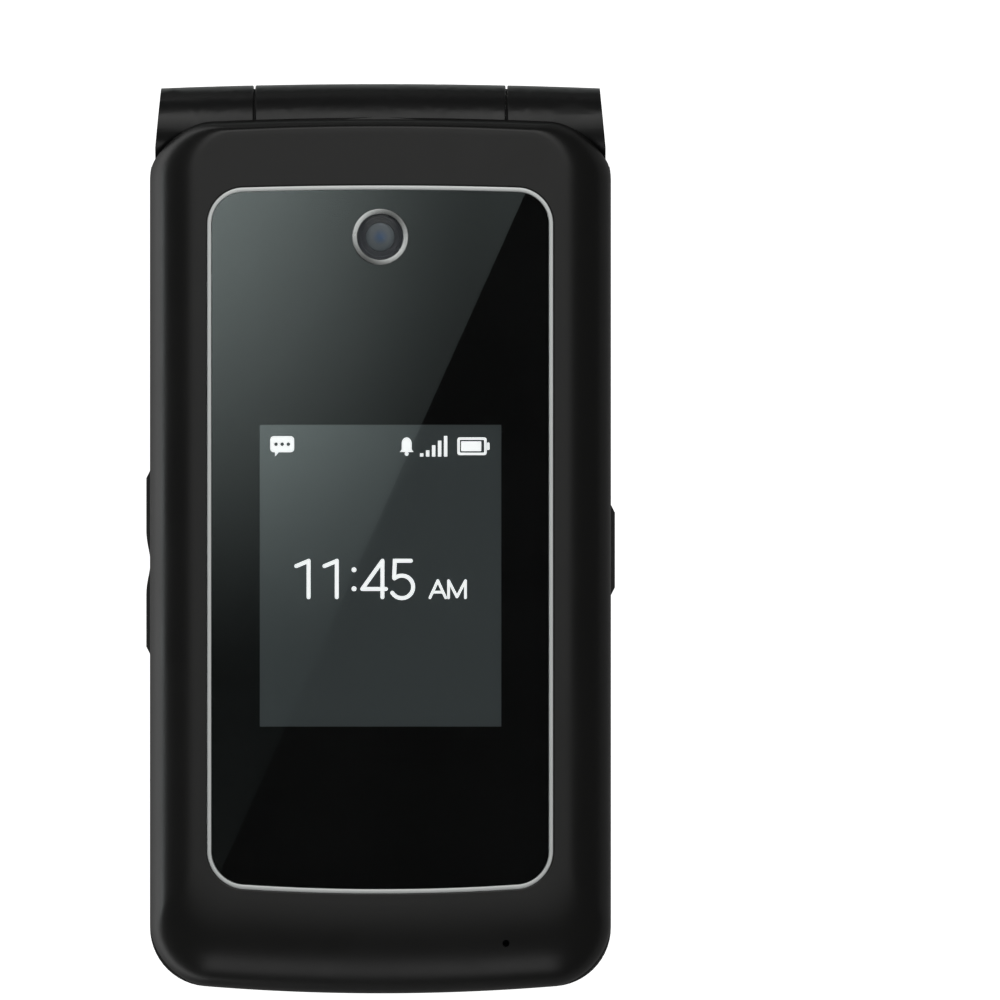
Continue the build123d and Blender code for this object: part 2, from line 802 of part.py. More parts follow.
with BuildPart() as lid_screws:
    with BuildSketch(Plane.XY.offset(lid_floor + screw_head_room)):
        with Locations(lid_screw_places):
            Circle(screw_head_radius)
    extrude(amount=screw_head_height)
    with BuildSketch(Plane.XY.offset(lid_floor + screw_head_room)):
        with Locations(lid_screw_places):
            Circle(screw_radius)
    extrude(amount=screw_head_height + lid_screw_length)
    # cross recess of each head
    with BuildSketch(Plane.XY.offset(lid_floor + screw_head_room)):
        with Locations(lid_screw_places):
            Rectangle(screw_radius * 2, screw_radius / 2)
            Rectangle(screw_radius / 2, screw_radius * 2)
    extrude(amount=screw_head_height / 2, mode=Mode.SUBTRACT)
lid_screws.part.label = "lid_screws"
export_step(lid_screws.part, "parts/lid_screws.step")

# ---------------------------------------------------------------- hinge
with BuildPart() as hinge_cam:
    add(hinge_cylinder(cam_radius, centre_end - cam_length, centre_end))
    add(
        hinge_cylinder(cartridge_shaft_radius + running_fit, centre_end - cam_length, centre_end),
        mode=Mode.SUBTRACT,
    )
hinge_cam.part.label = "hinge_cam"
export_step(hinge_cam.part, "parts/hinge_cam.step")

cartridge_end = barrel_half_length - knuckle_end_wall
collar_half = split_gap / 2 - split_collar_gap
with BuildPart() as hinge_cartridge:
    add(hinge_cylinder(cartridge_radius, knuckle_split, cartridge_end))
    add(hinge_cylinder(split_collar_radius, knuckle_split - collar_half, knuckle_split + collar_half))
    add(hinge_cylinder(cartridge_shaft_radius, centre_end - cam_length, cartridge_end))
hinge_cartridge.part.label = "hinge_cartridge"
export_step(hinge_cartridge.part, "parts/hinge_cartridge.step")

bushing_left = -knuckle_split - bushing_length / 2
bushing_right = -knuckle_split + bushing_length / 2
with BuildPart() as hinge_bushing:
    add(hinge_cylinder(bushing_radius, bushing_left, bushing_right))
    add(hinge_cylinder(split_collar_radius, -knuckle_split - collar_half, -knuckle_split + collar_half))
    add(
        hinge_cylinder(bushing_radius - bushing_wall, bushing_left, bushing_right),
        mode=Mode.SUBTRACT,
    )
hinge_bushing.part.label = "hinge_bushing"
export_step(hinge_bushing.part, "parts/hinge_bushing.step")

# the rolled flat cable in the barrel, with the strip that leads to the main board
flex_left = bushing_left - flex_bushing_gap - flex_width
flex_right = centre_end - cam_length - flex_cam_gap
flex_strip_floor = hinge_z - flex_roll_radius
flex_strip_start = hinge_y - hollow_radius - hinge_wall - flex_strip_reach
with BuildPart() as hinge_flex:
    add(hinge_cylinder(flex_roll_radius, flex_left, flex_right))
    with BuildSketch(Plane.XY.offset(flex_strip_floor)):
        with Locations((flex_left + flex_width / 2, (flex_strip_start + hinge_y) / 2)):
            Rectangle(flex_width, hinge_y - flex_strip_start)
    extrude(amount=flex_thickness)
    add(
        hinge_cylinder(flex_roll_radius - flex_thickness, flex_left, flex_right),
        mode=Mode.SUBTRACT,
    )
hinge_flex.part.label = "hinge_flex"
export_step(hinge_flex.part, "parts/hinge_flex.step")

# ---------------------------------------------------------------- base: front housing
jack_corner_bow = free_bow * ((jack_x + jack_half_width) / half_width) ** 2
jack_front = -free_end + base_wall + jack_corner_bow + board_room
jack_back = jack_front + jack_length
usb_front = -free_end + usb_sink
usb_back = usb_front + usb_length
side_slot_height = side_key_height + 2 * key_clearance


def knuckle(side):
    # One outer knuckle with the block that carries it; side is -1 or 1
    outer = barrel_half_length
    with BuildPart() as ear:
        if side > 0:
            add(barrel_piece(knuckle_start, outer + knuckle_trim))
        else:
            add(barrel_piece(-outer - knuckle_trim, -knuckle_start))
        with BuildSketch(Plane.XY.offset(board_floor)):
            with Locations((side * (knuckle_start + outer) / 2, hinge_y - ear_start / 2)):
                Rectangle(outer - knuckle_start, ear_start)
        extrude(amount=base_height - board_floor)
        # plan of the knuckle, with its leaning end face
        with BuildSketch():
            with BuildLine():
                Polyline(
                    (side * knuckle_start, hinge_y - ear_start),
                    (side * outer, hinge_y - ear_start),
                    (side * outer, hinge_y - barrel_radius / 2),
                    (side * (outer - knuckle_taper), hinge_y + barrel_radius),
                    (side * knuckle_start, hinge_y + barrel_radius),
                    close=True,
                )
            make_face()
        extrude(amount=lid_face, mode=Mode.INTERSECT)
    return ear.part


with BuildPart() as front_cavity:
    with BuildSketch(Plane.XY.offset(base_seam)):
        BodyOutline(cover_hinge_edge, base_wall)
    extrude(amount=deck_floor - base_seam)
    add(walled_hollow, mode=Mode.SUBTRACT)

with BuildPart() as front_housing:
    with BuildSketch(Plane.XY.offset(base_seam)):
        BodyOutline(cover_hinge_edge, 0)
    extrude(amount=base_height - base_seam)
    fillet(front_housing.edges().group_by(Axis.Z)[-1], tray_edge_round)
    add(front_cavity.part, mode=Mode.SUBTRACT)
    add(whole_hollow, mode=Mode.SUBTRACT)
    add(knuckle(-1))
    add(knuckle(1))
    # screw bosses under the deck
    with BuildSketch(Plane.XY.offset(board_face)):
        with Locations(base_screw_places):
            Circle(boss_radius)
    extrude(amount=deck_floor - board_face)
    # bores of the knuckles
    add(hinge_cylinder(cartridge_radius, knuckle_start, cartridge_end), mode=Mode.SUBTRACT)
    add(hinge_cylinder(bushing_radius, -cartridge_end, -knuckle_start), mode=Mode.SUBTRACT)
    add(
        box_between(
            flex_left - flex_slot_room,
            flex_left + flex_width + flex_slot_room,
            flex_strip_start - flex_slot_reach,
            hinge_y,
            flex_strip_floor - flex_slot_room,
            flex_strip_floor + flex_thickness + flex_slot_room,
        ),
        mode=Mode.SUBTRACT,
    )
    # key openings in the deck
    with BuildSketch(Plane.XY.offset(deck_floor)):
        for key_x, key_y, width, length in key_places.values():
            with Locations((key_x, key_y)):
                RectangleRounded(
                    width + 2 * key_clearance,
                    length + 2 * key_clearance,
                    digit_corner + key_clearance,
                )
        with Locations((0, nav_y)):
            Circle(nav_radius + key_clearance)
        with Locations((mic_x, mic_y)):
            Circle(mic_hole)
    extrude(amount=deck_wall, mode=Mode.SUBTRACT)
    # screw holes
    with BuildSketch(Plane.XY.offset(board_face)):
        with Locations(base_screw_places):
            Circle(screw_radius)
    extrude(amount=deck_floor - board_face, mode=Mode.SUBTRACT)
    # slots of the side keys
    with BuildSketch(Plane.YZ.offset(-far_side)):
        with Locations((volume_y, side_key_z)):
            Rectangle(volume_length + 2 * key_clearance, side_slot_height)
    extrude(amount=far_side - side_wall_inside + cut_past, mode=Mode.SUBTRACT)
    with BuildSketch(Plane.YZ.offset(side_wall_inside - cut_past)):
        with Locations((power_y, side_key_z)):
            Rectangle(power_length + 2 * key_clearance, side_slot_height)
    extrude(amount=far_side - side_wall_inside + cut_past, mode=Mode.SUBTRACT)
    # openings of the two sockets in the free end
    with BuildSketch(Plane.XZ.offset(free_end - base_wall - free_bow)):
        with Locations((jack_x, socket_z)):
            Circle(jack_collar)
        with Locations((0, socket_z)):
            RectangleRounded(
                usb_width + 2 * socket_clearance,
                usb_height + 2 * socket_clearance,
                usb_height / 3,
            )
    extrude(amount=base_wall + 2 * free_bow, mode=Mode.SUBTRACT)
front_housing.part.label = "front_housing"
export_step(front_housing.part, "parts/front_housing.step")

# ---------------------------------------------------------------- base: rear housing
bay_roof = battery_top + bay_roof_gap
with BuildPart() as rear_housing:
    add(cover_half(chassis_inset))
    with BuildSketch(Plane.XY.offset(cover_height)):
        BodyOutline(cover_hinge_edge, chassis_inset)
    extrude(amount=board_floor - cover_height)
    # battery bay, open to the back, with room for its contacts
    with BuildSketch():
        with Locations((0, battery_y)):
            RectangleRounded(2 * bay_half_width, 2 * bay_half_length, battery_corner)
        with Locations((contact_x, contact_start)):
            Rectangle(
                contact_width + 2 * part_clearance,
                2 * (contact_depth + part_clearance),
            )
    extrude(amount=bay_roof, mode=Mode.SUBTRACT)
    # board bay, open to the board, which holds the loudspeaker, motor, cans and card socket
    with BuildSketch(Plane.XY.offset(board_bay_floor)):
        with Locations((0, (board_bay_bottom + board_bay_top) / 2)):
            Rectangle(2 * board_bay_half_width, board_bay_top - board_bay_bottom)
    extrude(amount=board_floor - board_bay_floor, mode=Mode.SUBTRACT)
    # window over the card socket and two rows of five sound slots under the loudspeaker
    with BuildSketch():
        with Locations((sim_x, sim_y)):
            Rectangle(sim_width, sim_length - 2 * sim_wall)
        with Locations((0, speaker_y)):
            with GridLocations(sound_slot_pitch, sound_slot_row, 5, 2):
                SlotOverall(sound_slot_length, sound_slot_width)
    extrude(amount=board_bay_floor, mode=Mode.SUBTRACT)
    # screw holes with deep head recesses from the back
    with BuildSketch():
        with Locations(base_screw_places):
            Circle(screw_radius)
    extrude(amount=board_floor, mode=Mode.SUBTRACT)
    with BuildSketch():
        with Locations(base_screw_places):
            Circle(screw_head_radius + screw_head_room)
    extrude(amount=board_floor - chassis_plate, mode=Mode.SUBTRACT)
    # pockets for the sockets at the free end
    add(
        box_between(
            jack_x - jack_half_width - board_room,
            jack_x + jack_half_width + board_room,
            -free_end,
            jack_back + board_room,
            socket_z - jack_half_height - socket_floor_gap,
            board_floor,
        ),
        mode=Mode.SUBTRACT,
    )
    add(
        box_between(
            -usb_width / 2 - board_room,
            usb_width / 2 + board_room,
            -free_end,
            usb_back + board_room,
            socket_z - usb_height / 2 - socket_floor_gap,
            board_floor,
        ),
        mode=Mode.SUBTRACT,
    )
    add(walled_hollow, mode=Mode.SUBTRACT)
rear_housing.part.label = "rear_housing"
export_step(rear_housing.part, "parts/rear_housing.step")

with BuildPart() as base_screws:
    with BuildSketch(Plane.XY.offset(board_floor - chassis_plate - screw_head_height)):
        with Locations(base_screw_places):
            Circle(screw_head_radius)
    extrude(amount=screw_head_height)
    with BuildSketch(Plane.XY.offset(board_floor - chassis_plate - screw_head_height)):
        with Locations(base_screw_places):
            Circle(screw_radius)
    extrude(amount=deck_floor - board_floor + chassis_plate)
    with BuildSketch(Plane.XY.offset(board_floor - chassis_plate - screw_head_height)):
        with Locations(base_screw_places):
            Rectangle(screw_radius * 2, screw_radius / 2)
            Rectangle(screw_radius / 2, screw_radius * 2)
    extrude(amount=screw_head_height / 2, mode=Mode.SUBTRACT)
base_screws.part.label = "base_screws"
export_step(base_screws.part, "parts/base_screws.step")

# ---------------------------------------------------------------- base: main board
with BuildPart() as main_board:
    with BuildSketch(Plane.XY.offset(board_floor)):
        with Locations((0, (board_top - board_bottom) / 2)):
            Rectangle(2 * board_half_width, board_top + board_bottom)
        with Locations(base_screw_places):
            Circle(screw_radius, mode=Mode.SUBTRACT)
        with Locations((jack_x, (jack_front + jack_back) / 2)):
            Rectangle(
                2 * (jack_half_width + board_room),
                jack_length + 2 * board_room,
                mode=Mode.SUBTRACT,
            )
        with Locations((0, (usb_front + usb_back) / 2)):
            Rectangle(usb_width + 2 * board_room, usb_length + 2 * board_room, mode=Mode.SUBTRACT)
    extrude(amount=board_thickness)
    with BuildSketch(Plane.XY.offset(board_floor)):
        BodyOutline(cover_hinge_edge, base_wall + board_room)
    extrude(amount=board_thickness, mode=Mode.INTERSECT)
main_board.part.label = "main_board"
export_step(main_board.part, "parts/main_board.step")

dome_places = [(x, y) for x, y, width, length in key_places.values()]
dome_places.append((0, nav_y))
nav_stem_places = [
    (nav_stem_reach, nav_y),
    (0, nav_y + nav_stem_reach),
    (-nav_stem_reach, nav_y),
    (0, nav_y - nav_stem_reach),
]
with BuildPart() as key_domes:
    with BuildSketch(Plane.XY.offset(board_face)):
        with Locations((0, (mat_top - mat_bottom) / 2)):
            Rectangle(2 * mat_half_width, mat_top + mat_bottom)
    extrude(amount=dome_sheet)
    with BuildSketch(Plane.XY.offset(board_face + dome_sheet)):
        with Locations(dome_places):
            Circle(dome_radius)
        with Locations(nav_stem_places):
            Circle(nav_stem_radius)
    extrude(amount=dome_height)
key_domes.part.label = "key_domes"
export_step(key_domes.part, "parts/key_domes.step")

with BuildPart() as keypad_mat:
    with BuildSketch(Plane.XY.offset(mat_floor)):
        with Locations((0, (mat_top - mat_bottom) / 2)):
            RectangleRounded(2 * mat_half_width, mat_top + mat_bottom, digit_corner)
    extrude(amount=mat_thickness)
keypad_mat.part.label = "keypad_mat"
export_step(keypad_mat.part, "parts/keypad_mat.step")

with BuildPart() as shield_cans:
    with BuildSketch(Plane.XY.offset(board_floor - can_height)):
        with Locations((-can_x, can_y), (can_x, can_y)):
            RectangleRounded(can_width, can_length, can_corner)
    extrude(amount=can_height)
    fillet(shield_cans.edges().group_by(Axis.Z)[0], can_height / 6)
shield_cans.part.label = "shield_cans"
export_step(shield_cans.part, "parts/shield_cans.step")

with BuildPart() as sim_socket:
    with BuildSketch(Plane.XY.offset(board_floor - sim_height)):
        with Locations((sim_x, sim_y)):
            Rectangle(sim_width, sim_length)
    extrude(amount=sim_height)
    # card slot, open towards the battery
    with BuildSketch(Plane.XY.offset(board_floor - sim_height + sim_slot_floor)):
        with Locations((sim_x, sim_y - sim_wall)):
            Rectangle(sim_width - 2 * sim_wall, sim_length)
    extrude(amount=sim_slot_height, mode=Mode.SUBTRACT)
sim_socket.part.label = "sim_socket"
export_step(sim_socket.part, "parts/sim_socket.step")

with BuildPart() as side_switches:
    with BuildSketch(Plane.XY.offset(board_face)):
        with Locations(
            (-board_half_width + switch_depth / 2, volume_y + volume_nub_y),
            (-board_half_width + switch_depth / 2, volume_y - volume_nub_y),
            (board_half_width - switch_depth / 2, power_y),
        ):
            Rectangle(switch_depth, switch_width)
    extrude(amount=switch_height)
side_switches.part.label = "side_switches"
export_step(side_switches.part, "parts/side_switches.step")

# ---------------------------------------------------------------- base: sound
with BuildPart() as loudspeaker:
    with BuildSketch(Plane.XY.offset(board_bay_floor)):
        with Locations((0, speaker_y)):
            RectangleRounded(speaker_width, speaker_length, speaker_height)
    extrude(amount=speaker_height)
loudspeaker.part.label = "loudspeaker"
export_step(loudspeaker.part, "parts/loudspeaker.step")

with BuildPart() as microphone:
    with BuildSketch(Plane.XY.offset(board_face)):
        with Locations((mic_x, mic_y)):
            Circle(mic_radius)
    extrude(amount=mic_height)
    with BuildSketch(Plane.XY.offset(board_face + mic_height / 2)):
        with Locations((mic_x, mic_y)):
            Circle(mic_hole)
    extrude(amount=mic_height / 2, mode=Mode.SUBTRACT)
microphone.part.label = "microphone"
export_step(microphone.part, "parts/microphone.step")

with BuildPart() as vibration_motor:
    with BuildSketch(Plane.XY.offset(board_bay_floor)):
        with Locations((motor_x, motor_y)):
            Circle(motor_radius)
    extrude(amount=motor_height)
    fillet(vibration_motor.edges().group_by(Axis.Z)[-1], motor_height / 8)
vibration_motor.part.label = "vibration_motor"
export_step(vibration_motor.part, "parts/vibration_motor.step")

# ---------------------------------------------------------------- base: sockets and antenna
with BuildPart() as headphone_jack:
    with BuildSketch(Plane.XZ.offset(-jack_back)):
        with Locations((jack_x, socket_z)):
            Rectangle(2 * jack_half_width, 2 * jack_half_height)
    extrude(amount=jack_length)
    with BuildSketch(Plane.XZ.offset(-jack_front)):
        with Locations((jack_x, socket_z)):
            Circle(jack_half_height)
    extrude(amount=base_wall / 2)
    with BuildSketch(Plane.XZ.offset(-jack_back + jack_back_wall)):
        with Locations((jack_x, socket_z)):
            Circle(jack_bore)
    extrude(amount=jack_length + base_wall, mode=Mode.SUBTRACT)
headphone_jack.part.label = "headphone_jack"
export_step(headphone_jack.part, "parts/headphone_jack.step")

with BuildPart() as usb_socket:
    with BuildSketch(Plane.XZ.offset(-usb_back)):
        with Locations((0, socket_z)):
            RectangleRounded(usb_width, usb_height, usb_height / 3)
    extrude(amount=usb_length)
    with BuildSketch(Plane.XZ.offset(-usb_back + usb_shell)):
        with Locations((0, socket_z)):
            RectangleRounded(usb_width - 2 * usb_shell, usb_height - 2 * usb_shell, usb_height / 4)
    extrude(amount=usb_length, mode=Mode.SUBTRACT)
    # contact tongue
    with BuildSketch(Plane.XZ.offset(-usb_back)):
        with Locations((0, socket_z)):
            Rectangle(usb_width / 2, usb_tongue)
    extrude(amount=usb_tongue_length)
usb_socket.part.label = "usb_socket"
export_step(usb_socket.part, "parts/usb_socket.step")

with BuildPart() as antenna:
    with BuildSketch(Plane.XY.offset(deck_floor - antenna_thickness)):
        with Locations((antenna_x, antenna_y)):
            Rectangle(antenna_width, antenna_length)
            with Locations((-antenna_arm / 2, 0)):
                Rectangle(antenna_width - antenna_arm, antenna_length / 3, mode=Mode.SUBTRACT)
    extrude(amount=antenna_thickness)
antenna.part.label = "antenna"
export_step(antenna.part, "parts/antenna.step")

# ---------------------------------------------------------------- base: battery
with BuildPart() as battery:
    with BuildSketch(Plane.XY.offset(battery_top - battery_thickness)):
        with Locations((0, battery_y)):
            RectangleRounded(battery_width, battery_length, battery_corner)
    extrude(amount=battery_thickness)
    fillet(battery.edges().group_by(Axis.Z)[0], battery_thickness / 8)
    fillet(battery.edges().group_by(Axis.Z)[-1], battery_thickness / 8)
battery.part.label = "battery"
export_step(battery.part, "parts/battery.step")

blade_floor = battery_top - contact_height / 2 - blade_height / 2
with BuildPart() as battery_contacts:
    add(
        box_between(
            contact_x - contact_width / 2,
            contact_x + contact_width / 2,
            contact_start,
            contact_start + contact_depth,
            battery_top - contact_height,
            battery_top,
        )
    )
    # three sprung blades towards the battery
    for blade in (-1, 0, 1):
        add(
            box_between(
                contact_x + blade * contact_width / 3 - blade_width / 2,
                contact_x + blade * contact_width / 3 + blade_width / 2,
                contact_start - battery_room,
                contact_start,
                blade_floor,
                blade_floor + blade_height,
            )
        )
battery_contacts.part.label = "battery_contacts"
export_step(battery_contacts.part, "parts/battery_contacts.step")

# ---------------------------------------------------------------- battery cover and grille
with BuildPart() as battery_cover:
    add(cover_half(0))
    add(cover_half(cover_wall), mode=Mode.SUBTRACT)
    with BuildSketch():
        with Locations((0, speaker_y)):
            SlotOverall(grille_width + 2 * grille_groove, grille_length + 2 * grille_groove)
    extrude(amount=cover_wall, mode=Mode.SUBTRACT)
    # finger notch in the edge beside the barrel
    add(
        box_between(
            -notch_width / 2,
            notch_width / 2,
            cover_hinge_edge - notch_depth,
            cover_hinge_edge + hinge_bow,
            cover_height - notch_height,
            cover_height,
        ),
        mode=Mode.SUBTRACT,
    )
battery_cover.part.label = "battery_cover"
export_step(battery_cover.part, "parts/battery_cover.step")

# two rows of holes either side of the middle line, the outer ones half a pitch off
with BuildPart() as speaker_grille:
    with BuildSketch(Plane.XY.offset(grille_sink)):
        with Locations((0, speaker_y)):
            SlotOverall(grille_width, grille_length)
    extrude(amount=cover_wall - grille_sink)
    with BuildSketch(Plane.XY.offset(cover_wall)):
        with Locations((0, speaker_y)):
            SlotOverall(
                grille_width + 2 * (grille_groove + grille_lip),
                grille_length + 2 * (grille_groove + grille_lip),
            )
    extrude(amount=grille_lip_height)
    with BuildSketch():
        with Locations((0, speaker_y)):
            with GridLocations(grille_pitch, 2 * grille_outer_row, grille_inner_count - 1, 2):
                Circle(grille_hole)
            with GridLocations(grille_pitch, 2 * grille_inner_row, grille_inner_count, 2):
                Circle(grille_hole)
    extrude(amount=cover_wall + grille_lip_height, mode=Mode.SUBTRACT)
    with BuildSketch(Plane.XY.offset(grille_sink)):
        with Locations((grille_mark_x, speaker_y)):
            Circle(grille_mark_radius)
            Circle(grille_mark_radius / 2, mode=Mode.SUBTRACT)
    extrude(amount=grille_mark_depth, mode=Mode.SUBTRACT)
speaker_grille.part.label = "speaker_grille"
export_step(speaker_grille.part, "parts/speaker_grille.step")

# ---------------------------------------------------------------- keys
for key_name, (key_x, key_y, width, length) in key_places.items():
    with BuildPart() as key:
        with BuildSketch(Plane.XY.offset(flange_top - key_flange_height)):
            with Locations((key_x, key_y)):
                RectangleRounded(width + 2 * key_flange, length + 2 * key_flange, digit_corner)
        extrude(amount=key_flange_height)
        with BuildSketch(Plane.XY.offset(flange_top)):
            with Locations((key_x, key_y)):
                RectangleRounded(width, length, digit_corner)
        extrude(amount=base_height + key_proud - flange_top)
        fillet(key.edges().group_by(Axis.Z)[-1], key_edge)
        with BuildSketch(Plane.XY.offset(stem_floor)):
            with Locations((key_x, key_y)):
                Circle(stem_radius)
        extrude(amount=flange_top - stem_floor)
    key.part.label = key_name
    export_step(key.part, f"parts/{key_name}.step")

with BuildPart() as key_ok:
    with BuildSketch(Plane.XY.offset(stem_floor)):
        with Locations((0, nav_y)):
            Circle(ok_radius)
    extrude(amount=base_height + key_proud - stem_floor)
    fillet(key_ok.edges().group_by(Axis.Z)[-1], key_edge)
key_ok.part.label = "key_ok"
export_step(key_ok.part, "parts/key_ok.step")

nav_flange_top = deck_floor - nav_flange_room
with BuildPart() as nav_ring:
    with BuildSketch(Plane.XY.offset(nav_flange_top - key_flange_height)):
        with Locations((0, nav_y)):
            Circle(nav_radius + key_flange)
    extrude(amount=key_flange_height)
    with BuildSketch(Plane.XY.offset(nav_flange_top)):
        with Locations((0, nav_y)):
            Circle(nav_radius)
    extrude(amount=base_height + nav_top - nav_flange_top)
    fillet(nav_ring.edges().group_by(Axis.Z)[-1], key_edge)
    with BuildSketch(Plane.XY.offset(stem_floor)):
        with Locations(nav_stem_places):
            Circle(nav_stem_radius)
    extrude(amount=nav_flange_top - stem_floor)
    with BuildSketch(Plane.XY.offset(stem_floor)):
        with Locations((0, nav_y)):
            Circle(ok_radius + nav_gap)
    extrude(amount=base_height, mode=Mode.SUBTRACT)
nav_ring.part.label = "nav_ring"
export_step(nav_ring.part, "parts/nav_ring.step")

# ---------------------------------------------------------------- side keys
key_outside = half_width + side_key_proud
dip_end = volume_dip_length / 2 + volume_dip_slope
half_volume = volume_length / 2

with BuildPart() as volume_rocker:
    with BuildSketch(Plane.XY.offset(side_key_z - side_key_height / 2)):
        with BuildLine():
            Polyline(
                (-flange_inside, volume_y - half_volume),
                (-key_outside + side_key_chamfer, volume_y - half_volume),
                (-key_outside, volume_y - half_volume + 2 * side_key_chamfer),
                (-key_outside, volume_y - dip_end),
            )
            Spline(
                (-key_outside, volume_y - dip_end),
                (-half_width, volume_y),
                (-key_outside, volume_y + dip_end),
                tangents=((0, 1), (0, 1)),
            )
            Polyline(
                (-key_outside, volume_y + dip_end),
                (-key_outside, volume_y + half_volume - 2 * side_key_chamfer),
                (-key_outside + side_key_chamfer, volume_y + half_volume),
                (-flange_inside, volume_y + half_volume),
                (-flange_inside, volume_y - half_volume),
            )
        make_face()
    extrude(amount=side_key_height)
    with BuildSketch(Plane.XY.offset(side_key_z - side_key_height / 2 - side_key_flange)):
        with Locations((-(flange_outside + flange_inside) / 2, volume_y)):
            Rectangle(side_key_flange_depth, volume_length + 2 * key_flange)
    extrude(amount=side_key_height + 2 * side_key_flange)
    with BuildSketch(Plane.XY.offset(side_key_z - nub_height / 2)):
        with Locations(
            (-flange_inside + side_key_nub / 2, volume_y - volume_nub_y),
            (-flange_inside + side_key_nub / 2, volume_y + volume_nub_y),
        ):
            Rectangle(side_key_nub, nub_width)
    extrude(amount=nub_height)
volume_rocker.part.label = "volume_rocker"
export_step(volume_rocker.part, "parts/volume_rocker.step")

half_power = power_length / 2
with BuildPart() as side_key:
    with BuildSketch(Plane.XY.offset(side_key_z - side_key_height / 2)):
        with BuildLine():
            Polyline(
                (flange_inside, power_y - half_power),
                (key_outside - side_key_chamfer, power_y - half_power),
                (key_outside, power_y - half_power + 2 * side_key_chamfer),
                (key_outside, power_y + half_power - 2 * side_key_chamfer),
                (key_outside - side_key_chamfer, power_y + half_power),
                (flange_inside, power_y + half_power),
                close=True,
            )
        make_face()
    extrude(amount=side_key_height)
    with BuildSketch(Plane.XY.offset(side_key_z - side_key_height / 2 - side_key_flange)):
        with Locations(((flange_outside + flange_inside) / 2, power_y)):
            Rectangle(side_key_flange_depth, power_length + 2 * key_flange)
    extrude(amount=side_key_height + 2 * side_key_flange)
side_key.part.label = "side_key"
export_step(side_key.part, "parts/side_key.step")
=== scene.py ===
import math

import bmesh
import bpy
import numpy as np
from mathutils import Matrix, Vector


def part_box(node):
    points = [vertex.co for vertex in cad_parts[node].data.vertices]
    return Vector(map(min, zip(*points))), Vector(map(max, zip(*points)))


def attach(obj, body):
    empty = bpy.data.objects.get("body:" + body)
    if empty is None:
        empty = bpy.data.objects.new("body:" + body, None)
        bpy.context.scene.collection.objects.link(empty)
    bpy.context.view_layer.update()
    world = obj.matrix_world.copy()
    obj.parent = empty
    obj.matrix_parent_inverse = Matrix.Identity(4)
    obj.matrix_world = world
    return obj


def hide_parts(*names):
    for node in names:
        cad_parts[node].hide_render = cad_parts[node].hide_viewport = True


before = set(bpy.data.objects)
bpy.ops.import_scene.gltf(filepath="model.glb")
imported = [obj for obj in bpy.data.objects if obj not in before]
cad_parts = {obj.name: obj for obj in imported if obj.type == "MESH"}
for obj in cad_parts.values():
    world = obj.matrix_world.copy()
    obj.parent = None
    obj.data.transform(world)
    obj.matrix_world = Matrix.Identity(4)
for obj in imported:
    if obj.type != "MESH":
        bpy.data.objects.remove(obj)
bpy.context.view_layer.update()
mm = 0.001
print("frame loaded,", len(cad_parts), "nodes")

# the body's plan and section, in millimetres, the same sizes as the construction has
body = {
    "halfWidth": 28.0,
    "freeEnd": -55.25,
    "lidHingeEdge": 51.3,
    "coverHingeEdge": 50.85,
    "hingeBow": 0.75,
    "freeBow": 1.5,
    "corner": 7.2,
    "hingeY": 50.05,
    "hingeZ": 11.15,
    "hollow": 5.45,      # clearance round the barrel
    "hollowWall": 1.0,
}


def addObject(name, data):
    thing = bpy.data.objects.new(name, data)
    bpy.context.scene.collection.objects.link(thing)
    return thing


def shade(mesh, sharp):
    # smooth, but for the edges that turn by more than sharp degrees
    mesh.shade_smooth()
    mesh.set_sharp_from_angle(angle=math.radians(sharp))


def addPiece(name, points, faces, bodyName, material, sharp=35, replaces=None, slot=None):
    # points in millimetres become a smooth-shaded mesh that rides on a body
    mesh = bpy.data.meshes.new(name)
    mesh.from_pydata((np.asarray(points, float) * mm).tolist(), [], [list(f) for f in faces])
    mesh.validate()
    piece = addObject(name, mesh)
    outwards(mesh)
    shade(mesh, sharp)
    mesh.materials.append(material)
    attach(piece, bodyName)
    if replaces:
        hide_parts(replaces)
    return piece


def settle(piece):
    # what the piece's modifiers make becomes its own mesh
    done = bpy.data.meshes.new_from_object(piece.evaluated_get(bpy.context.evaluated_depsgraph_get()))
    piece.modifiers.clear()
    piece.data = done
    return done


def outwards(mesh):
    work = bmesh.new()
    work.from_mesh(mesh)
    bmesh.ops.remove_doubles(work, verts=work.verts, dist=1e-7)
    bmesh.ops.recalc_face_normals(work, faces=work.faces)
    work.to_mesh(mesh)
    work.free()


def gridFaces(rows, columns, closeRows, closeColumns, first=0):
    # quads between neighbouring rows and columns of a grid of points
    r = np.arange(rows if closeRows else rows - 1)
    c = np.arange(columns if closeColumns else columns - 1)
    a, b = np.meshgrid(r, c, indexing="ij")
    a2, b2 = (a + 1) % rows, (b + 1) % columns
    quads = np.stack([a * columns + b, a * columns + b2, a2 * columns + b2, a2 * columns + b], -1)
    return (quads.reshape(-1, 4) + first).tolist()


def endFaces(count, first, last):
    # the flat faces that close a stack of rows, from the first points of its lowest and highest row
    return [list(range(first, first + count))[::-1], list(range(last, last + count))]


